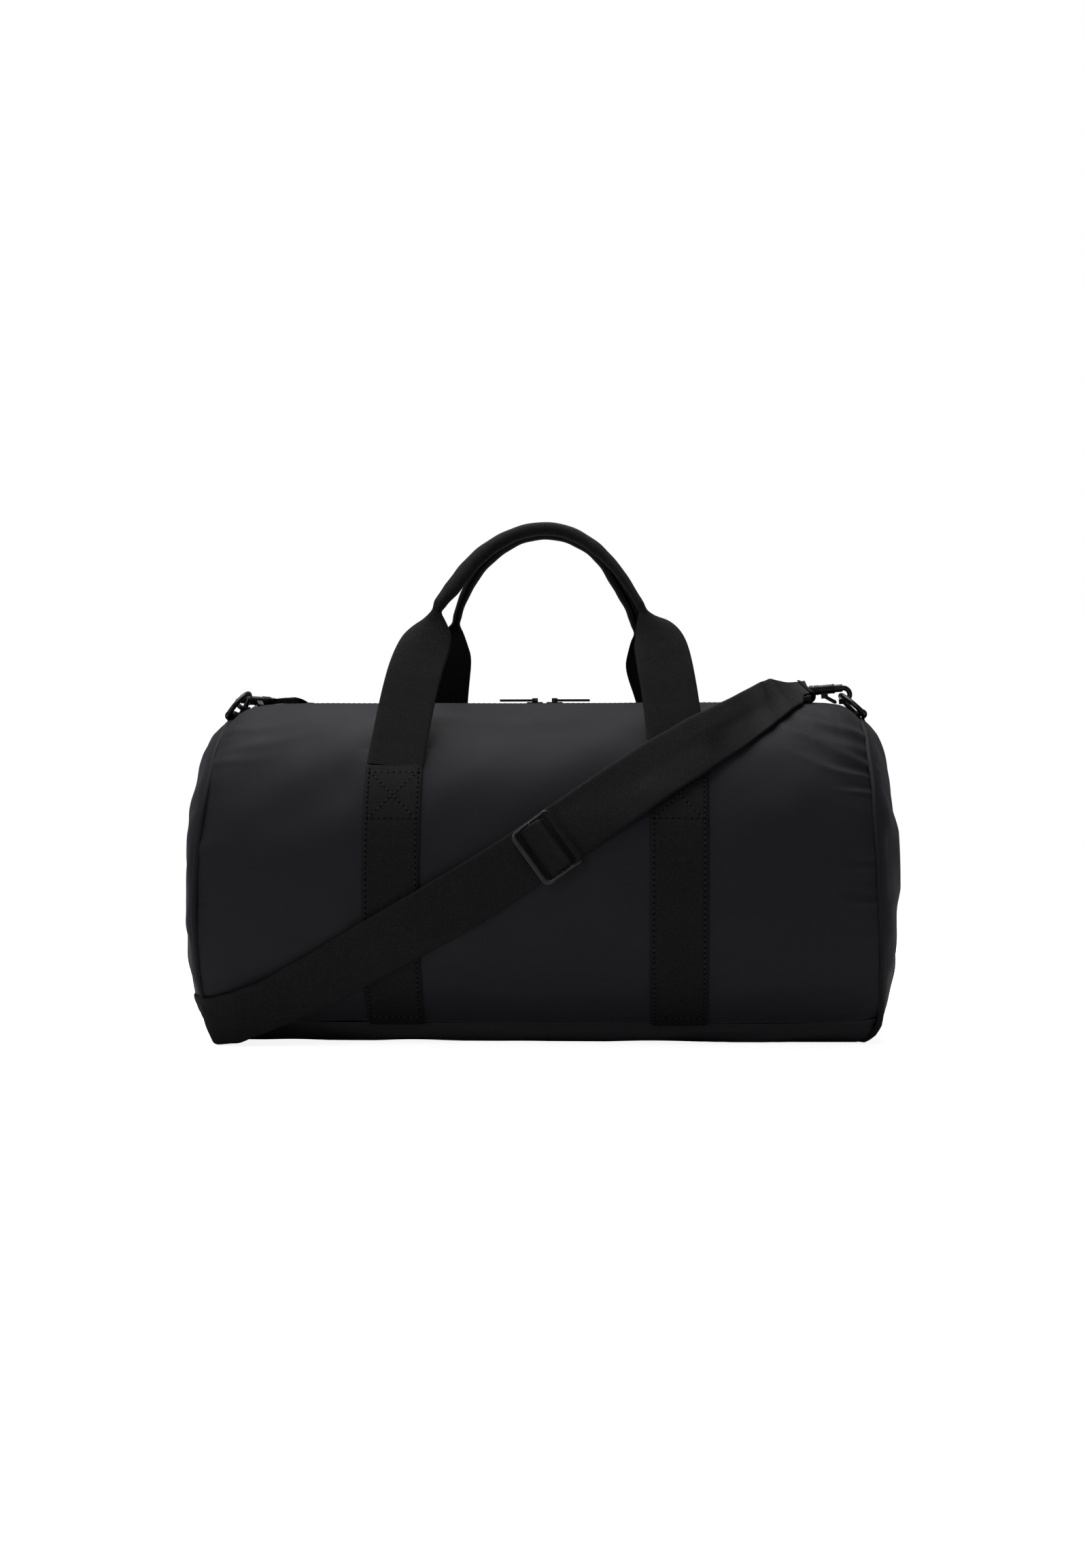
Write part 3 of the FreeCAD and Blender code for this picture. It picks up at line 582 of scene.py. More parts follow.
# soft folds: x, z, angle, length, width, depth
FRONT_FOLDS = [
    (205, 214, -0.32, 30, 3.2, 1.7), (196, 205, -0.28, 34, 3.4, 1.3),
    (206, 196, -0.42, 26, 3.0, 1.2), (196, 186, -0.38, 24, 3.0, 0.8),
    (213, 183, -0.15, 14, 2.0, 0.9), (214, 171, -0.05, 12, 1.8, 0.8),
    (214, 121, 0.05, 10, 2.0, 1.2), (215, 98, -0.05, 10, 2.0, 1.2),
    (0, 221, 0.02, 60, 6.0, 1.1), (-60, 224, -0.05, 40, 5.0, 0.7),
    (-205, 214, 0.1, 26, 3.0, 0.8), (-196, 203, 0.18, 30, 3.6, 0.5),
    (150, 40, 0.1, 40, 5.0, 0.8), (-150, 30, -0.05, 40, 5.0, 0.7),
    (20, 34, 0.03, 60, 5.0, 0.8), (60, 60, 0.35, 26, 4.0, 0.6),
    (-60, 44, -0.3, 24, 4.0, 0.6), (125, 90, -0.2, 26, 6.0, 0.6)]
REAR_FOLDS = [
    (-120, 60, 0.2, 40, 5, 0.9), (20, 40, -0.1, 50, 5, 0.8), (140, 70, 0.3, 40, 6, 0.9),
    (0, 215, 0.05, 60, 6, 0.9), (150, 200, -0.2, 30, 4, 0.9), (-150, 150, 0.15, 30, 5, 0.7)]


def soft_noise(x, s, seed, length_x, length_s, waves):
    """sum of random sine waves about length_x by length_s long"""
    rng = np.random.RandomState(seed)
    out = np.zeros(np.broadcast(x, s).shape)
    for _ in range(waves):
        freq_x = rng.uniform(0.4, 1.6) / length_x
        freq_s = rng.uniform(0.4, 1.6) / length_s
        out = out + np.sin(2 * np.pi * (freq_x * x * rng.choice([-1, 1]) + freq_s * s)
                           + rng.uniform(0, 6.28))
    return out / math.sqrt(waves / 2.0)


def fold(x, z, x0, z0, angle, length, width, depth):
    """one soft fold: a ridge with a hollow beside it"""
    ca, sa = math.cos(angle), math.sin(angle)
    u = (x - x0) * ca + (z - z0) * sa
    v = -(x - x0) * sa + (z - z0) * ca
    v = v - 0.0012 * u * u
    ridge = np.exp(-(v / width) ** 2)
    hollow = 0.7 * np.exp(-((v - 1.9 * width) / (1.3 * width)) ** 2)
    return depth * np.exp(-(u / length) ** 2) * (ridge - hollow)


def seam_gathers(z, distance, seed):
    """gathers running in from an end seam, distance away"""
    rng = np.random.RandomState(seed)
    out = 0.0
    for _ in range(17):
        z0 = rng.uniform(25, 222)
        width = rng.uniform(2.2, 5.0)
        length = rng.uniform(10, 34)
        slope = rng.uniform(-0.25, 0.25)
        height = rng.uniform(-0.9, 0.7)
        out = out + (height * np.exp(-((z - z0 - slope * distance) / width) ** 2)
                     * np.exp(-(distance / length) ** 1.5))
    return out


def relief(x, z, side):
    """outward displacement of the cloth; side -1 front, 1 rear"""
    seed = 3 if side < 0 else 11
    out = 0.75 * soft_noise(x, z, seed, 260, 130, 10)
    out += 0.32 * soft_noise(x, z, seed + 1, 90, 60, 12)
    for end, end_seed in ((-1, 21), (1, 22)):
        distance = np.abs(x - end * END_X)
        out += seam_gathers(z, distance, end_seed + seed)
        out -= 0.9 * np.exp(-(distance / 5.0) ** 2)
    for values in (FRONT_FOLDS if side < 0 else REAR_FOLDS):
        out += fold(x, z, *values)
    # sewn webs pull the cloth in
    keep = np.ones_like(out)
    for web_x in (FRONT_WEB_X if side < 0 else REAR_WEB_X):
        distance = np.abs(x - web_x)
        keep *= 1 - np.exp(-(distance / 26.0) ** 6) * (z < 200)
        out -= 0.55 * np.exp(-((distance - 20.5) / 3.0) ** 2) * (z < 190)
    # the zip edge and the base seam stay put
    keep *= np.clip((236.2 - z) / 3.5, 0, 1)
    out = out * keep - 0.7 * np.exp(-((z - SEAM_Z) / 2.2) ** 2)
    return np.clip(out, -3.0, 2.2)


# ------------------------------------------------------------------ cloth panels
STEP = 1.5
STATIONS_X = np.linspace(-END_X, END_X, int(2 * END_X / STEP) + 1)
CLOTH_T = 1.1
ZIP_HALF_LENGTH = 183
ZIP_EDGE_Y = 8.0


def side_panel(node, side):
    """front or rear panel, from the base seam up to the zip; returns its face and normals"""
    count = int(330 / STEP)
    points = np.zeros((len(STATIONS_X), count, 3))
    girth = np.zeros(points.shape[:2])
    for i, x in enumerate(STATIONS_X):
        y, z = section(x)
        # past the zip the two panels close together
        closing = np.clip((abs(x) - ZIP_HALF_LENGTH) / 3.0, 0, 1)
        start = np.argmax(z > 15.1)
        end = np.argmax((z > MID_Z) & (y < ZIP_EDGE_Y - 7.95 * closing))
        y, z, girth[i] = even_steps(y[start:end + 1], z[start:end + 1], count)
        points[i] = np.stack([np.full(count, x), side * y, z], 1)
    push = relief(points[:, :, 0], points[:, :, 2], side)
    points = stretch(points)
    normals = facing(grid_normals(points), (len(STATIONS_X) // 2, count // 2), (0, side, 0))
    outer = points + normals * push[:, :, None]
    inner = points + normals * (np.minimum(push, 0.0)[:, :, None] - CLOTH_T)
    obj = shell(node + "_cloth", outer, inner, np.stack([points[:, :, 0], girth], -1),
                MATERIALS["panel"])
    attach(obj, node)
    return outer, normals


def base_panel():
    """wraps under the bag, seam to seam"""
    count = 120
    points = np.zeros((len(STATIONS_X), count, 3))
    for i, x in enumerate(STATIONS_X):
        y, z = section(x)
        end = np.argmax(z > 14.9)
        y, z, _ = even_steps(np.r_[-y[:end][::-1], y[:end]], np.r_[z[:end][::-1], z[:end]], count)
        points[i] = np.stack([np.full(count, x), y, z], 1)
    points = stretch(points)
    normals = facing(grid_normals(points), (len(STATIONS_X) // 2, count // 2), (0, 0, -1))
    x, y, z = np.moveaxis(points, -1, 0)
    push = 0.35 * soft_noise(x, y, 5, 120, 60, 10) * np.clip((14 - z) / 6, 0, 1)
    push -= 0.8 * np.exp(-((z - SEAM_Z) / 2.2) ** 2)
    outer = points + normals * push[:, :, None]
    outer[:, :, 2] = np.maximum(outer[:, :, 2], 0.05)
    obj = shell("base_panel_cloth", outer, points - normals * 1.0, points[:, :, :2],
                MATERIALS["base_fabric"])
    attach(obj, "base_panel")


def lining():
    """a loose inner sleeve, open along the zip, closed at both ends"""
    rings, count = 80, 150
    points = np.zeros((rings, count, 3))
    for i, x in enumerate(np.linspace(-218.5, 218.5, rings)):
        y, z = section_curve(x, angles(400), inset=5.5)
        z = np.maximum(z, 5.6)
        keep = np.where(~((np.abs(y) < 11) & (z > 150)))[0]
        # start the loop at the far side of the opening
        gap = np.where(np.diff(keep) > 1)[0][0]
        keep = np.r_[keep[gap + 1:], keep[:gap + 1]]
        y, z, _ = even_steps(y[keep], z[keep], count)
        points[i] = np.stack([np.full(count, x), y, z], 1)
    flat = points[:, :, [0, 2]]
    push = 0.5 * soft_noise(flat[:, :, 0], flat[:, :, 1], 71, 120, 90, 8)
    cloth = points + grid_normals(points) * push[:, :, None]
    obj = make_mesh("lining_cloth", cloth.reshape(-1, 3),
                    grid_faces(rings, count) + end_caps(rings, count),
                    MATERIALS["lining"], flat.reshape(-1, 2))
    solidify = obj.modifiers.new("thickness", "SOLIDIFY")
    solidify.thickness = 0.0005
    solidify.offset = -1
    attach(obj, "lining")


def end_panel(side, sign):
    """domed end, on rings from its centre out to the seam"""
    sides, rings = ((420, 110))
    k = np.sin(np.linspace(0.012, 1, rings) * np.pi / 2) ** 0.9
    k[-1] = 1.0
    k = k[:, None]
    rim_y, rim_z = section_curve(END_SECTION_X, angles(sides))
    low = 1 - (1 - np.clip((rim_z - 5) / 70.0, 0, 1)) * k * k
    y = rim_y * k
    seam_lift = 1.6 * k ** 8 * np.exp(-((rim_z - SEAM_Z) / 9.0) ** 2)
    z = MID_Z + (rim_z - MID_Z) * k + seam_lift
    points = np.stack([sign * dome(k, seam_x(sign, rim_z), low), y, z], -1)
    normals = facing(grid_normals(points), (rings // 2, 0), (sign, 0, 0))
    normals[0] = [sign, 0, 0]

    push = 0.9 * soft_noise(y, z, 31 + sign, 130, 110, 10)
    push += 0.35 * soft_noise(y, z, 41 + sign, 50, 50, 10)
    # gathers running in from the seam
    angle = np.arctan2(z - MID_Z, y)
    rng = np.random.RandomState(50 + sign)
    for _ in range(30):
        place = rng.uniform(-math.pi, math.pi)
        width = rng.uniform(0.025, 0.07)
        drift = rng.uniform(-0.3, 0.3)
        height = rng.uniform(-1.1, 0.9)
        reach = rng.uniform(0.08, 0.28)
        off = np.angle(np.exp(1j * (angle - place - drift * (1 - k))))
        push += height * np.exp(-(off / width) ** 2) * np.exp(-((1 - k) / reach) ** 1.6)
    push *= np.clip((1 - k) * 14, 0, 1) * np.clip(k * 6, 0.3, 1)
    outer = points + normals * np.clip(push, -2.5, 1.6)[:, :, None]
    outer[:, :, 2] = np.maximum(outer[:, :, 2], 0.1)
    inner = points - normals * CLOTH_T
    inner[:, :, 2] = np.maximum(inner[:, :, 2], 0.6)

    size, last = rings * sides, (rings - 1) * sides
    faces = (grid_faces(rings, sides, close_v=True)
             + grid_faces(rings, sides, close_v=True, base=size, flip=True)
             + [list(range(sides)), list(range(size, size + sides))[::-1]])
    for j in range(sides):
        a, b = last + j, last + (j + 1) % sides
        faces.append([a, b, size + b, size + a])
    obj = make_mesh("%s_end_panel_cloth" % side,
                    np.vstack([outer.reshape(-1, 3), inner.reshape(-1, 3)]), faces,
                    MATERIALS["panel"], np.vstack([points[:, :, 1:].reshape(-1, 2)] * 2))
    attach(obj, "%s_end_panel" % side)


def end_piping(side, sign):
    a = angles(520)
    y, z = section_curve(END_SECTION_X, a, inset=1.0)
    x = sign * (seam_x(sign, z) + 1.3) + 0.25 * np.sin(13 * a)
    radius = 2.05 + 0.045 * np.sin(9 * a) + 0.03 * np.sin(23 * a + 1)
    obj = tube("%s_piping_cord" % side, np.stack([x, y, np.maximum(z, 2.35)], 1), radius,
               MATERIALS["piping"], closed=True, ribs=0.05)
    attach(obj, "%s_end_piping" % side)


front_face, front_normals = side_panel("front_panel", -1)
rear_face, rear_normals = side_panel("rear_panel", 1)
base_panel()
lining()
for side, sign in (("left", -1), ("right", 1)):
    end_panel(side, sign)
    end_piping(side, sign)

# ------------------------------------------------------------------ sewn webs and handles
WEB_T = 1.8
WEB_HALF = 19.0
LEAN = 0.5           # the handles lean in this much per unit of height
BOX_TOP = 188.0      # the webs leave the cloth here
HINGE_Z = 236.0
FREE_Y = surf_y(0, BOX_TOP) + 0.3
LEAN_NORMAL = (1 / math.hypot(1, LEAN), LEAN / math.hypot(1, LEAN))   # (y, z)
EDGE_STITCH_X = 16.6

# handle centre lines, (x, z) up the left leg and down the right;
# the arch between them is (x, z, half width of the grip)
FRONT_HANDLE = dict(
    left=[(-96.0, 188.0), (-93.2, 210.0), (-89.5, 236.0), (-85.3, 257.0), (-81.0, 272.0),
          (-77.0, 284.0), (-74.8, 292.0)],
    arch=[(-73.0, 299, 4.0), (-64.0, 313, 5.5), (-56.5, 324.0, 5.8), (-46.5, 336.3, 5.6),
          (-34.0, 346.8, 5.2), (-19.5, 354.6, 4.9), (-3.0, 358.3, 4.7), (12.0, 357.0, 4.6),
          (25.0, 351.6, 4.5), (38.0, 342.2, 4.2), (49.8, 329.8, 3.4), (59.0, 316.8, 2.9),
          (66.2, 304.5, 2.7), (70.0, 297.5, 2.9)],
    right=[(72.5, 292.0), (77.5, 284.0), (82.0, 272.0), (85.0, 257.0), (88.4, 236.0),
           (91.4, 210.0), (94.0, 188.0)])
REAR_HANDLE = dict(
    left=[(-86.0, 188.0), (-83.6, 210.0), (-80.7, 236.0), (-78.0, 257.0), (-75.0, 272.0),
          (-71.6, 284.0), (-69.0, 291.0)],
    arch=[(-67.3, 297.5, 3.0), (-62.8, 311, 3.2), (-57.2, 321.8, 3.7), (-47.5, 335.8, 4.4),
          (-35.0, 346.8, 4.8), (-20.5, 354.8, 4.8), (-3.0, 358.5, 4.8), (12.0, 357.2, 4.8),
          (26.0, 352.0, 5.1), (39.0, 343.0, 5.5), (51.5, 325.5, 5.8), (59.0, 313.5, 5.8),
          (64.0, 302.0, 5.4), (66.3, 290.5, 4.0)],
    right=[(67.8, 284.5), (70.5, 278.0), (75.0, 266.0), (79.6, 254.0), (84.7, 236.0),
           (86.6, 210.0), (88.0, 188.0)])
# half width of a leg against distance below the neck
LEG_WIDTHS = ([0, 3, 7, 12, 19, 27, 36, 46], [3.9, 5.6, 9.6, 13.6, 16.6, 18.2, 18.8, WEB_HALF])


def leg_y(z):
    return FREE_Y - LEAN * (z - BOX_TOP)


def web_line(side, web_x, hinge_x):
    """outer centre line of a sewn web and its normals, bottom to top"""
    points, normals = [], []
    for z in np.linspace(15.8, BOX_TOP + 0.35, 260):
        if z <= BOX_TOP:
            x, y = web_x, surf_y(0, z) + 0.3
            rise = 1.0
            run = surf_y(0, z + rise / 2) - surf_y(0, z - rise / 2)
            length = math.hypot(run, rise)
            # turn towards the lean of the handle near the top
            w = min(1, max(0, (z - 176) / 12.0))
            ny = rise / length * (1 - w) + LEAN_NORMAL[0] * w
            nz = -run / length * (1 - w) + LEAN_NORMAL[1] * w
            length = math.hypot(ny, nz)
            ny, nz = ny / length, nz / length
        else:
            x = web_x + (hinge_x - web_x) * (z - BOX_TOP) / (HINGE_Z - BOX_TOP)
            y = leg_y(z)
            ny, nz = LEAN_NORMAL
        points.append((x, side * (y + WEB_T * ny), z + WEB_T * nz))
        normals.append((0, side * ny, nz))
    return np.array(points), np.array(normals)


def sewn_web(node, side, web_x, hinge_x):
    name = node + "_sewn"
    coarse, coarse_normals = web_line(side, web_x, hinge_x)
    count = int(arc_lengths(coarse)[-1] / (0.375))
    line, _ = spline(coarse, count)
    normals = along(np.linspace(0, 1, count), np.linspace(0, 1, len(coarse)), coarse_normals)
    x = np.linspace(-WEB_HALF, WEB_HALF, 39)
    points = line[:, None, :] + np.stack([x, 0 * x, 0 * x], 1)[None]
    obj = band(name, points, np.repeat(normals[:, None, :], len(x), 1), WEB_T,
               MATERIALS["webbing"],
               grooves=((-EDGE_STITCH_X, 0.8, 0.35), (EDGE_STITCH_X, 0.8, 0.35)))
    attach(obj, node)

    def index_at(z):
        return int(np.argmin(np.abs(line[:, 2] - z)))

    def crosswise(i):
        row = np.stack([line[i] + [q, 0, 0]
                        for q in np.linspace(-EDGE_STITCH_X, EDGE_STITCH_X, 24)])
        return row, np.repeat(normals[i][None], 24, 0)

    # both edges, a box with a cross at the top, and a row at the foot
    lines = [(line[6:count - 8] + [x, 0, 0], normals[6:count - 8])
             for x in (-EDGE_STITCH_X, EDGE_STITCH_X)]
    box_low, box_high = index_at(153.7), index_at(184.6)
    # the lower side of the box is sewn twice
    lines += [crosswise(i) for i in (box_low, box_high, box_low)]
    diagonal = np.linspace(box_low, box_high, 30).astype(int)
    for sign in (1, -1):
        row = np.stack([line[i] + [sign * q, 0, 0]
                        for i, q in zip(diagonal, np.linspace(-16.0, 16.0, 30))])
        lines.append((row, normals[diagonal]))
    lines.append(crosswise(index_at(20.0)))
    attach(stitches(name + "_stitching", lines))
    attach(painted_hole_shade(name + "_painted_hole_shade", lines))


def handle(body, side, left, arch, right):
    """carrying handle: flat legs that gather to a neck and fold into a tubular grip"""
    name = body + "_web"
    outline = np.array(left + [(x, z) for x, z, _ in arch] + right, float)
    coarse = np.stack([outline[:, 0], side * leg_y(outline[:, 1]), outline[:, 1]], 1)
    line, s = spline(coarse, 1500)
    arch_s = arc_lengths(coarse)[len(left):len(left) + len(arch)]
    neck_left, neck_right = arch_s[0], arch_s[-1]
    lean = np.array([0, side * LEAN_NORMAL[0], LEAN_NORMAL[1]])
    tangents = np.gradient(line, axis=0)
    tangents = unit_rows(tangents - (tangents @ lean)[:, None] * lean[None])
    sideways = unit_rows(np.cross(tangents, lean))
    # positive on the legs, the distance below the neck
    below = np.maximum(neck_left - s, s - neck_right)
    grip_half = np.interp(s, arch_s, [half for _, _, half in arch])[:, None]
    columns = 41
    j = np.linspace(-1, 1, columns)
    # leg: the edges curl back as it narrows
    kernel = np.hanning(61)
    kernel /= kernel.sum()
    half = np.interp(below, *LEG_WIDTHS)
    half = np.convolve(np.pad(half, 30, mode="edge"), kernel, mode="valid")
    back = np.sqrt(np.maximum(WEB_HALF ** 2 - half ** 2, 0)) * 0.42
    bulge = (1 - half / WEB_HALF)[:, None]
    leg_across = half[:, None] * j[None] * (1 - 0.10 * bulge * np.abs(j[None]))
    leg_out = (2.2 * bulge * (1 - j[None] ** 2)
               - np.minimum(back, 6.5)[:, None] * np.abs(j[None]) ** 2.4)
    leg_out += 0.5 * np.sin(0.11 * s)[:, None] * bulge * np.cos(2.4 * j)[None]
    # grip: the web folded round into a flattened tube
    turn = j * math.pi * 0.965
    grip_across = (np.sign(np.sin(turn)) * np.abs(np.sin(turn)) ** 0.9)[None] * grip_half
    grip_out = 4.6 * np.cos(turn)[None] + 0.7
    k = smoothstep(-below, -4.5, 5.5)[:, None]
    across = leg_across * (1 - k) + grip_across * k
    across = across * (1 + 0.03 * np.sin(0.35 * s + 1.0)[:, None] * k)
    out = leg_out * (1 - k) + grip_out * k + WEB_T * (1 - k)
    points = (line[:, None] + sideways[:, None] * across[:, :, None]
              + lean[None, None] * out[:, :, None])
    normals = facing(grid_normals(points), (40, columns // 2), lean)
    obj = band(name, points, normals, WEB_T - 0.3, MATERIALS["webbing"])
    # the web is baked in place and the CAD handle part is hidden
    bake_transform(obj)
    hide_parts(body)
    # a row of thread closes the grip, with a bar of thread at each end of it
    i0, i1 = int(np.argmax(s > neck_left + 6)), int(np.argmax(s > neck_right - 6))
    lines = [(points[i0:i1, 3], normals[i0:i1, 3])]
    for i in (i0 + 6, i1 - 6):
        lines.append((points[i, 10:31], normals[i, 10:31]))
    attach(stitches(name + "_stitching", lines), rides=body)


# node, side, x on the cloth, x at the hinge height
for values in (("front_left_web", -1, FRONT_WEB_X[0], -89.5),
               ("front_right_web", -1, FRONT_WEB_X[1], 88.4),
               ("rear_left_web", 1, REAR_WEB_X[0], -80.7),
               ("rear_right_web", 1, REAR_WEB_X[1], 84.7)):
    sewn_web(*values)
handle("front_handle", -1, **FRONT_HANDLE)
handle("rear_handle", 1, **REAR_HANDLE)

# ------------------------------------------------------------------ shoulder strap
ACROSS = np.linspace(1, -1, 7)       # places across a web in the coarse rows
CENTRE = 19                          # middle column of a 39 column web
BAND_STEP = 0.42
BAR_WRAP_R = 3.35
BAR_HEIGHT = 4.8                     # hook barrel over the joint
OUTWARD_FRONT = (0, -1, 0)

# stations: what it rests on, upper edge, lower edge
STRAP_FRONT = [
    ("front", (-221.0, -98.0, 33.0), (-216.0, -92.0, 0.8)),
    ("front", (-205.0, -102, 37.0), (-201, -97, 2.5)),
    ("front", (-184.0, -107, 45.0), (-178, -99, 11.5)),
    ("front", (-151.4, -115.6, 63.5), (-137.4, -100, 28.3)),
    ("front", (-116.6, -120.6, 84.0), (-100.5, -112, 49.0)),
    ("front", (-77.7, -122.5, 106.5), (-61.0, -118, 70.0)),
    ("front", (-46.0, -122.8, 125.5), (-29.5, -122, 88.5)),
    ("front", (-19.2, -121.0, 142.5), (1.5, -123, 110.0)),
    ("front", (2.0, -117.0, 157.5), (22.0, -123, 124.0)),
    ("front", (14.5, -114.0, 166.0), (35.5, -122, 132.5)),
    ("front", (42.0, -106.0, 185.0), (62.0, -117, 151.0)),
    ("front", (70.0, -97.0, 203.5), (89.0, -112, 170.0)),
    ("front", (100.0, -86.0, 221.0), (114.0, -102, 186.0)),
    ("front", (130.0, -66.0, 236.0), (137.5, -90, 201.5)),
    ("free", (150.0, -40.0, 247.5), (159.0, -71, 218.0)),
    ("free", (159.0, -17.0, 252.0), (172.5, -50, 229.0)),
    ("free", (169.0, 3.0, 251.5), (181.5, -29, 235.0)),
]
# round the left end and up the rear
STRAP_LEFT = [
    ("end", (-226.0, -92.0, 33.6), (-220.5, -86.0, 0.9)),
    ("end", (-230.0, -80, 34.5), (-224, -74, 0.9)),
    ("end", (-236.0, -58, 36.0), (-228, -54, 0.9)),
    ("end", (-240.0, -25, 37.0), (-231, -25, 0.9)),
    ("end", (-240.0, 25, 37.0), (-231, 25, 0.9)),
    ("end", (-236.0, 60, 37.0), (-229, 60, 0.9)),
    ("end", (-231.0, 88, 37.5), (-226, 84, 1.2)),
    ("rear", (-223.0, 105, 39.0), (-216, 103, 3.5)),
    ("rear", (-212.5, 110, 46.0), (-189, 108, 17.0)),
    ("rear", (-207.5, 115, 60.0), (-172.5, 117, 46.0)),
    ("rear", (-205.0, 117, 85.0), (-168, 119, 84.0)),
    ("rear", (-203.5, 117, 125.0), (-166, 119, 127.0)),
    ("rear", (-202.0, 105, 165.0), (-165, 108, 172.0)),
    ("rear", (-200.0, 90, 198.0), (-165, 80, 209.0)),
    ("rear", (-201.0, 72, 218.0), (-168, 58, 226.0)),
]


def front_surface_y(x, z):
    """half depth of the front with its sewn webs and handle legs"""
    cloth = max(surf_y(x, z), 0.0)
    distance = min(abs(x - web_x) for web_x in FRONT_WEB_X)
    lift = 2.4 * min(1.0, max(0.0, 1 - (distance - 19.6) / 14.0))
    y = cloth + lift
    if lift > 0.1 and z > BOX_TOP - 12:
        distance = min(abs(x + 94.0), abs(x - 91.0))
        leg = leg_y(z) + 3.2
        share = min(1.0, max(0.0, 1 - (distance - 24) / 16.0))
        if leg > cloth:
            y = max(y, cloth + (leg - cloth) * share)
    return y


def drape(point, rest, gaps):
    """moves a point out of the bag; gaps: clearance over each surface"""
    x, y, z = point
    if rest == "front":
        y = min(y, -(front_surface_y(x, z) + gaps[rest]))
    elif rest == "rear":
        y = max(y, surf_y(x, z) + gaps[rest])
    elif rest == "end":
        x = min(x, -(left_dome_x(y, z) + gaps[rest]))
    return x, y, z


def draped_rows(stations, gaps):
    """rows of points across the strap, three to each station"""
    edges = np.array([(upper, lower) for _, upper, lower in stations], float)
    last = len(stations) - 1
    rows = []
    for step in range(3 * last + 1):
        i, part = divmod(step, 3)
        f = part / 3.0
        upper, lower = edges[i] * (1 - f) + edges[min(i + 1, last)] * f
        rows.append([drape(upper * (1 - g) + lower * g, stations[i][0], gaps)
                     for g in np.linspace(0, 1, len(ACROSS))])
    return np.array(rows)


def pull_taut(rows):
    """takes slack out of the strap: y comes forward to the mean of its neighbours"""
    for _ in range(60):
        for i in range(1, len(rows) - 1):
            mean = 0.5 * (rows[i - 1, :, 1] + rows[i + 1, :, 1])
            rows[i, :, 1] += 0.9 * np.minimum(mean - rows[i, :, 1], 0.0)
    return rows


def fine_rows(rows, step):
    """39 column grid with even steps along it, and its normals"""
    rows = np.asarray(rows, float)
    count = int(arc_lengths(rows.mean(1))[-1] / step)
    points = resample_across(spline(rows, count)[0], 39)
    return points, grid_normals(points)


def hook_frame(joint, axis, cross, tilt=None, turn=1, inset=0.0, skew=0.0):
    """Axes of a hook and of its web bar.

    tilt turns the bar about the hook (level if None), inset moves the web fold
    off the bar, skew slants its rows and turn = -1 reverses them.
    """
    axis = unit(axis)
    cross = np.asarray(cross, float)
    cross = unit(cross - axis * axis.dot(cross))
    up = np.cross(axis, cross)
    if tilt is None:
        tilt = math.atan2(-cross[2], up[2])
    joint = np.array(joint, float)
    return SimpleNamespace(
        joint=joint, axis=axis, cross=cross, up=up, skew=skew,
        bar_line=turn * (cross * math.cos(tilt) + up * math.sin(tilt)),
        bar_up=up * math.cos(tilt) - cross * math.sin(tilt),
        fold=joint - axis * 33.0 + up * BAR_HEIGHT + axis * inset)


def hook_row(hook, back, up, half=17.5):
    """a row of points across the web, back along the hook from its fold"""
    return [hook.fold - hook.axis * (back + hook.skew * q) + hook.bar_line * (half * q)
            + hook.bar_up * up for q in ACROSS]


def wrap(hook, start, end):
    """the webbing turns round the web bar of a hook, between two angles in degrees"""
    return [hook_row(hook, -BAR_WRAP_R * math.cos(a), BAR_WRAP_R * math.sin(a))
            for a in np.radians(np.linspace(start, end, 9))]


HOOKS = {
    "left": hook_frame((-218.1, 16.8, 236.5), axis=(-0.775, -0.632, 0.0255),
                       cross=(0.474, -0.553, 0.684), turn=-1),
    "right": hook_frame((209.4, 0, 241.2), axis=(0.996, 0, 0.087), cross=(0, 1, 0),
                        tilt=math.radians(18.0), inset=7.6, skew=2.8),
}


def shoulder_strap():
    left, right = HOOKS["left"], HOOKS["right"]
    front_rows = pull_taut(draped_rows(STRAP_FRONT, {"front": 4.2}))
    left_rows = draped_rows(STRAP_LEFT, {"end": 2.9, "rear": 2.6})
    left_end = [hook_row(left, 0.0, BAR_WRAP_R), hook_row(left, 3.2, 3.0)]
    right_end = [hook_row(right, 2.6, 3.3, half=17.7), hook_row(right, 0.0, BAR_WRAP_R)]

    points, normals = fine_rows(
        np.concatenate([left_end, left_rows[::-1], front_rows, right_end]), BAND_STEP)
    nearest = int(np.argmin(np.linalg.norm(points[:, CENTRE] - [7, -122, 134], axis=1)))
    obj = band("shoulder_strap_web", points, facing(normals, (nearest, CENTRE), OUTWARD_FRONT),
               1.5, MATERIALS["strap_webbing"])
    attach(obj, "shoulder_strap")

    # the layer under it, from the slider round the bar of the right hook
    upper = np.concatenate([front_rows, right_end])
    first = 24
    upper_normals = facing(grid_normals(upper), (first, 3), OUTWARD_FRONT)
    under = [upper[i] - upper_normals[i] * (2.05 + 0.25 * math.sin(0.9 * i))
             for i in range(first, len(front_rows) - 1)]
    points, normals = fine_rows(
        under + [hook_row(right, 3.2, -3.1)] + wrap(right, -90, 90), BAND_STEP)
    obj = band("strap_return_web", points, facing(normals, (10, CENTRE), OUTWARD_FRONT),
               1.2, MATERIALS["strap_webbing"])
    attach(obj, "strap_return_layer")

    # short loop of webbing round the bar of the left hook, turned back under the strap
    points, normals = fine_rows(
        wrap(left, 90, -90) + [hook_row(left, 5.0, -2.2), hook_row(left, 16.0, -1.0)], BAND_STEP)
    normals = facing(normals, (5, CENTRE), points[5, CENTRE] - left.fold)
    obj = band("left_hook_web_loop", points, normals, 1.3, MATERIALS["strap_webbing"])
    attach(obj)


shoulder_strap()

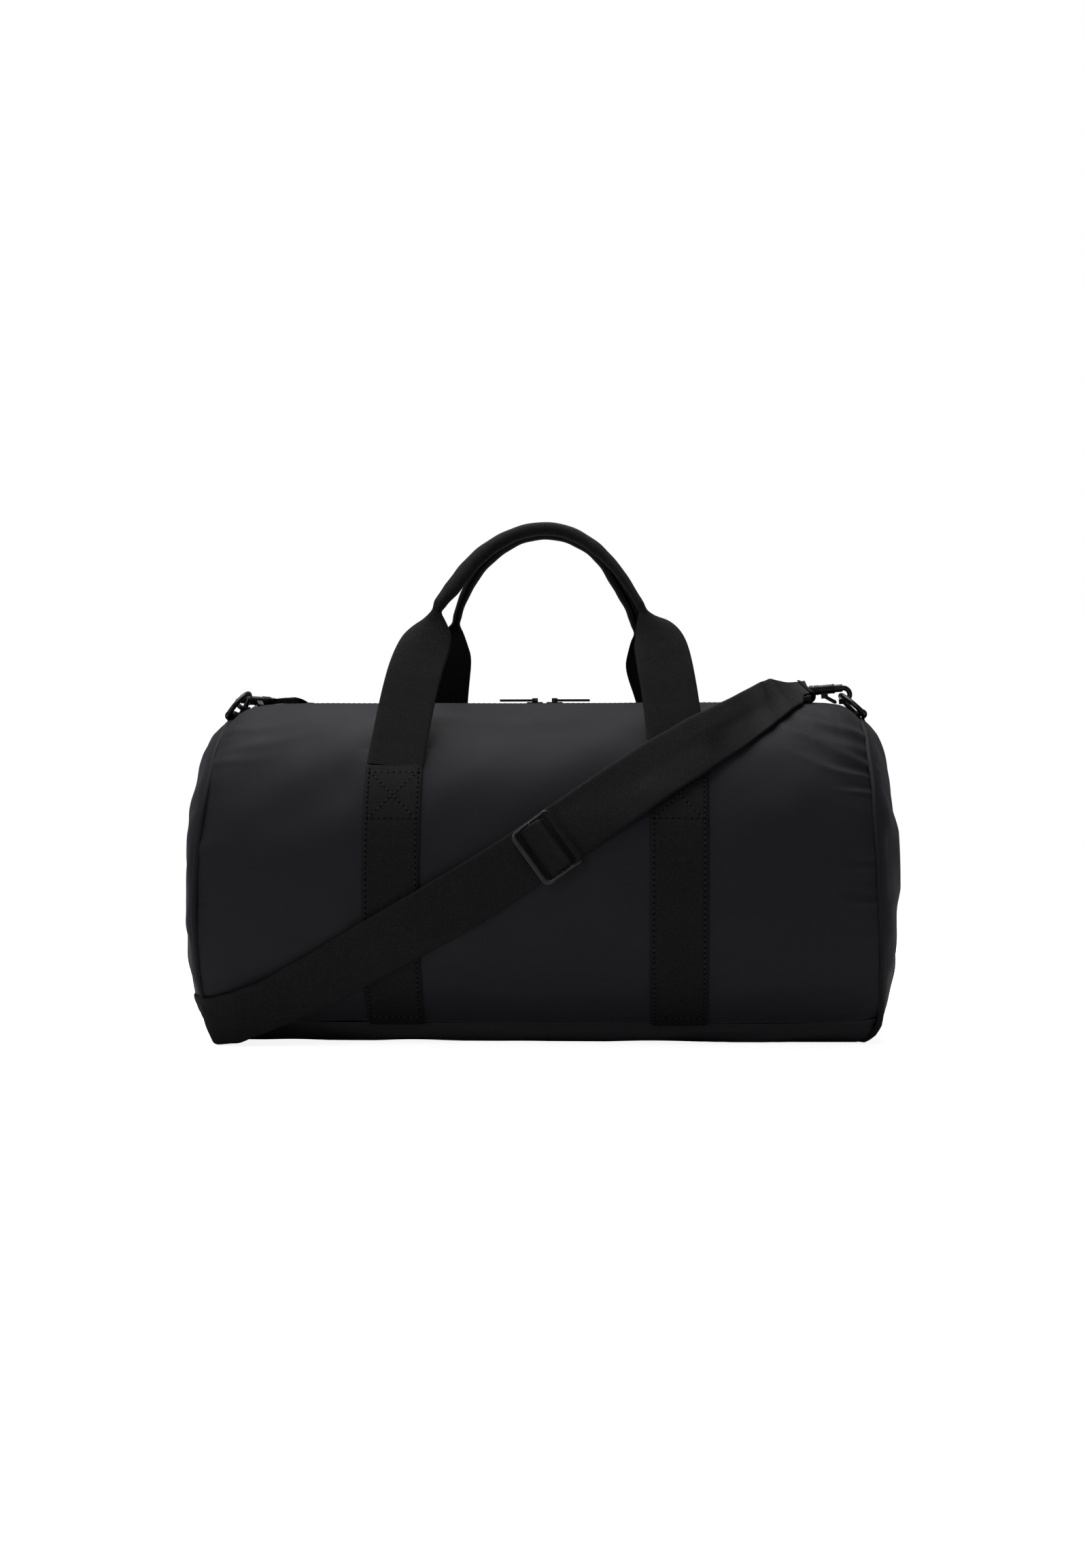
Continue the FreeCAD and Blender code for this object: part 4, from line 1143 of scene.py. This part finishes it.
# ------------------------------------------------------------------ strap slider
SLIDER = np.array([7.2, -124.6, 134.0])
SLIDER_ALONG = unit((0.806, 0.07, 0.588))
SLIDER_ACROSS = unit((-0.585, 0.16, 0.795))
SLIDER_ACROSS = unit(SLIDER_ACROSS - SLIDER_ALONG * SLIDER_ALONG.dot(SLIDER_ACROSS))
SLIDER_OUT = facing(np.cross(SLIDER_ACROSS, SLIDER_ALONG)[None], 0, OUTWARD_FRONT)[0]
# web over the middle bar: place along the slider, height
FOLD_PROFILE = [(-10.4, -1.6), (-9.6, -1.0), (-8.7, 0.6), (-7.4, 2.9), (-5.0, 5.0), (-1.8, 6.3),
                (1.6, 6.5), (4.6, 5.6), (6.8, 3.8), (8.2, 1.4), (8.9, -0.6), (9.6, -1.6)]
# centre line of the frame
FRAME_HALF_ALONG, FRAME_HALF_ACROSS, FRAME_CORNER_R = 13.6, 20.25, 3.6


def slider_fold():
    """the web end bulges over the middle bar between the side bars"""
    rows = [[SLIDER + SLIDER_ALONG * a + SLIDER_OUT * b + SLIDER_ACROSS * (18.2 * q)
             for q in ACROSS] for a, b in FOLD_PROFILE]
    points, normals = fine_rows(rows, BAND_STEP * 0.9)
    normals = facing(normals, (len(points) // 2, CENTRE), SLIDER_OUT)
    obj = band("slider_web_fold_cloth", points, normals, 1.2, MATERIALS["strap_webbing"],
               width=36.4)
    attach(obj, "strap_slider_web_fold", rides="strap_slider")


def slider_frame():
    """flattened round bars in a rounded rectangle"""
    corner_x = FRAME_HALF_ALONG - FRAME_CORNER_R
    corner_y = FRAME_HALF_ACROSS - FRAME_CORNER_R
    loop = []
    for sx, sy, start in ((1, 1, 0), (-1, 1, 90), (-1, -1, 180), (1, -1, 270)):
        for a in np.radians(np.linspace(start, start + 90, 9)):
            loop.append((sx * corner_x + FRAME_CORNER_R * math.cos(a),
                         sy * corner_y + FRAME_CORNER_R * math.sin(a)))
    # add points along the straight runs
    dense = []
    for (x0, y0), (x1, y1) in zip(loop, loop[1:] + loop[:1]):
        parts = max(1, int(math.hypot(x1 - x0, y1 - y0) / 1.2))
        for i in range(parts):
            dense.append((x0 + (x1 - x0) * i / parts, y0 + (y1 - y0) * i / parts))
    dense = np.array(dense)
    tangents = unit_rows(np.roll(dense, -1, 0) - np.roll(dense, 1, 0))
    sideways = np.stack([tangents[:, 1], -tangents[:, 0]], 1)
    sides = 20
    a = angles(sides)
    flat_cos = np.copysign(np.abs(np.cos(a)) ** 0.7, np.cos(a))
    flat_sin = np.copysign(np.abs(np.sin(a)) ** 0.7, np.sin(a))
    points = []
    for (x, y), (side_x, side_y) in zip(dense, sideways):
        # half width: the bars that run across are broad, the others thin
        share = abs(side_x)
        half = (1.9 if x < 0 else 2.5) * share + 1.05 * (1 - share)
        for c, s in zip(flat_cos * half, flat_sin * 1.12 + 1.15):
            points.append(SLIDER + SLIDER_ALONG * (x + side_x * c)
                          + SLIDER_ACROSS * (y + side_y * c) + SLIDER_OUT * s)
    uv = [(i, j) for i in range(len(dense)) for j in range(sides)]
    obj = make_mesh("strap_slider_bars", points,
                    grid_faces(len(dense), sides, close_u=True, close_v=True),
                    MATERIALS["slider_metal"], uv)
    # painted shade: the bar towards the right hook gets a darker, rougher copy of the slider
    # material, its darker colour standing in for the shade where the web comes out from under it
    obj.data.materials.append(MATERIALS["slider_painted_shade"])
    for face in obj.data.polygons:
        offset = np.array(face.center) / MM - SLIDER
        if offset.dot(SLIDER_ALONG) > 8.0 and abs(offset.dot(SLIDER_ACROSS)) < 20.4:
            face.material_index = 1
    attach(obj, "strap_slider_frame", rides="strap_slider")
    middle = [SLIDER + SLIDER_ACROSS * t + SLIDER_OUT * 1.1 for t in np.linspace(-20.6, 20.6, 40)]
    obj = tube("strap_slider_middle_bar", middle, 1.3, MATERIALS["slider_metal"])
    attach(obj, rides="strap_slider")


slider_fold()
slider_frame()

# ------------------------------------------------------------------ ring tabs and hook collars
TAB_HALF = 15.5
TAB_LOOP_R = 3.45
TAB_LOOP_Z = 227.6
# place along the hook, ring radius, cord radius
COLLARS = ((-17.2, 3.3, 0.5), (-15.6, 3.3, 0.45), (-4.6, 3.2, 0.4))


def ring_tab(side, sign):
    """web loop round a ring, its tail running in along the top"""
    node = "%s_ring_tab" % side
    low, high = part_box(node)
    centre_x = (low.x + high.x) / 2 / MM
    # (distance outward from the centre, z)
    profile = [(2.6, 219.2), (2.3, 222.5)]
    profile += [(TAB_LOOP_R * math.cos(a), TAB_LOOP_Z + TAB_LOOP_R * math.sin(a))
                for a in np.radians(np.linspace(-60, 240, 22))]
    profile += [(-2.6, 224.4), (-5.0, 223.9), (-11.0, 226.7), (-16.0, 229.6)]
    rows = [[(centre_x + sign * out, y, z - y ** 2 / 260.0) for y in TAB_HALF * ACROSS]
            for out, z in profile]
    points, normals = fine_rows(rows, 0.5)
    highest = np.argmax(points[:, CENTRE, 2])
    obj = band(node + "_web", points, facing(normals, (highest, CENTRE), (0, 0, 1)), 1.3,
               MATERIALS["webbing"], width=2 * TAB_HALF)
    attach(obj, node)


def hook_collars(side):
    """raised rings on the barrel of a hook"""
    hook = HOOKS[side]
    for place, radius, cord in COLLARS:
        ring = [hook.joint + hook.axis * place + hook.cross * (radius * math.cos(a))
                + hook.up * (BAR_HEIGHT + radius * math.sin(a)) for a in angles(40)]
        obj = tube("%s_hook_collar_%d" % (side, int(place + 30)), ring, cord,
                   MATERIALS["dark_metal"], closed=True, sides=10)
        attach(obj, rides="%s_hook" % side)


ring_tab("left", -1)
ring_tab("right", 1)
hook_collars("left")
hook_collars("right")

# ------------------------------------------------------------------ zip coils
ZIP_PITCH = 1.9
COIL_HALF_LENGTH = 174
# one turn of the coil: distance from the zip line, z
TOOTH_PATH = [(3.3, 232.5), (2.6, 234.3), (1.4, 234.75), (0.75, 233.7), (1.2, 232.4), (2.6, 232.0)]


def zip_coil(side, sign):
    points, faces = [], []
    # same polygon as a seven sided circle cut from eight even steps with both ends kept
    turns = np.linspace(0, 2 * np.pi, 8)[:-1]
    rings, sides = len(TOOTH_PATH), len(turns)
    # the rear teeth sit between the front ones
    shift = 0.0 if sign < 0 else ZIP_PITCH / 2 * 0.9
    for i in range(int(2 * COIL_HALF_LENGTH / ZIP_PITCH)):
        x = -COIL_HALF_LENGTH + (i + 0.5) * ZIP_PITCH + shift
        base = len(points)
        for (y, z), slant in zip(TOOTH_PATH, np.linspace(-0.45, 0.45, rings)):
            for a in turns:
                points.append((x + slant + 0.55 * math.cos(a), sign * y, z + 0.35 * math.sin(a)))
        faces += ring_walls(rings, sides, base) + end_caps(rings, sides, base)
    obj = make_mesh("zip_coil_%s_teeth" % side, points, faces, MATERIALS["zip_coil"],
                    np.asarray(points)[:, :2])
    attach(obj, "zip_coil_%s" % side)


def topstitching(side, face, normals):
    """two rows beside the zip and one above the base seam"""
    beside = np.abs(face[:, -1, 0]) < 182
    lines = []
    for inset in (2.6, 9.0):
        column = -1 - int(inset / STEP)
        beside = np.abs(face[:, -1 - int(2.6 / STEP), 0]) < 182
        lines.append((face[beside, column], normals[beside, column]))
    column = int(4 / STEP)
    lines.append((face[3:-3, column], normals[3:-3, column]))
    attach(stitches("zip_topstitch_%s" % side, lines, radius=0.22, lift=0.05))


zip_coil("front", -1)
topstitching("front", front_face, front_normals)
zip_coil("rear", 1)
topstitching("rear", rear_face, rear_normals)

# ------------------------------------------------------------------ CAD nodes that stay
slot_of = {part["node"]: part["material_slot"] for part in frame["record"]["subparts"]}
for name, obj in frame["nodes"].items():
    obj.data.materials.clear()
    obj.data.materials.append(MATERIALS.get(slot_of[name], MATERIALS["panel"]))
    if slot_of[name] in ("dark_metal", "slider_metal", "zip_coil"):
        bevel = obj.modifiers.new("bevel", "BEVEL")
        bevel.width = 0.00035
        bevel.segments = 2
        bevel.limit_method = "ANGLE"
        bevel.angle_limit = math.radians(35)

# ------------------------------------------------------------------ stage (metres)
AMBIENT = 0.115      # world light on the bag; the camera itself sees full white


def pale_floor():
    mesh = bpy.data.meshes.new("floor")
    mesh.from_pydata([(-6, -6, 0), (6, -6, 0), (6, 6, 0), (-6, 6, 0)], [], [(0, 1, 2, 3)])
    floor = bpy.data.objects.new("floor", mesh)
    bpy.context.scene.collection.objects.link(floor)
    material, tree, shader = new_material("floor_pale")
    mottle = add_node(tree, "ShaderNodeTexNoise", {"Scale": 3.0})
    colour_ramp(tree, mottle.outputs["Fac"], shader.inputs["Base Color"],
                ((0.0, (0.93, 0.93, 0.93)), (1.0, (0.95, 0.95, 0.95))))
    # it glows only for the camera, so it lights nothing
    light_path = add_node(tree, "ShaderNodeLightPath")
    map_range(tree, light_path.outputs["Is Camera Ray"], shader.inputs["Emission Strength"],
              low=0.0, high=0.89)
    set_inputs(shader, {"Roughness": 0.9, "Emission Color": (1, 1, 1, 1)})
    mesh.materials.append(material)


def studio_world():
    world = bpy.data.worlds.new("studio")
    bpy.context.scene.world = world
    world.use_nodes = True
    tree = world.node_tree
    background = tree.nodes["Background"]
    light_path = add_node(tree, "ShaderNodeLightPath")
    map_range(tree, light_path.outputs["Is Camera Ray"], background.inputs["Strength"],
              low=AMBIENT, high=1.0)
    background.inputs["Color"].default_value = (1, 1, 1, 1)
    bpy.context.scene.view_settings.view_transform = "Standard"


def area_light(name, location, target, size, power):
    light = bpy.data.lights.new(name, "AREA")
    light.shape = "RECTANGLE"
    light.size, light.size_y = size
    light.energy = power
    obj = bpy.data.objects.new(name, light)
    obj.location = location
    direction = Vector(target) - Vector(location)
    obj.rotation_euler = direction.to_track_quat("-Z", "Y").to_euler()
    bpy.context.scene.collection.objects.link(obj)


def front_camera():
    """level camera, swung a little to the right of straight on"""
    distance, height, swing = 1.5, 0.150, math.radians(2.8)
    camera = bpy.data.cameras.new("camera")
    obj = bpy.data.objects.new("camera", camera)
    bpy.context.scene.collection.objects.link(obj)
    obj.location = (distance * math.sin(swing), -distance * math.cos(swing), height)
    obj.rotation_euler = (math.radians(90), 0, swing)
    camera.sensor_fit = "HORIZONTAL"
    camera.sensor_width = 36.0
    camera.lens = 69.7669172932
    camera.shift_x = -0.002192982456
    camera.shift_y = 0.0365914787
    camera.clip_start = 0.01
    bpy.context.scene.camera = obj


pale_floor()
studio_world()
area_light("key_top", location=(-0.26, 0.25, 1.72), target=(0, 0, 0.1), size=(1.6, 1.3), power=34)
area_light("fill_front", location=(-1.1, -2.3, 1.5), target=(0, 0, 0.15), size=(1.4, 1.0),
           power=11.5)
front_camera()
bpy.context.view_layer.update()
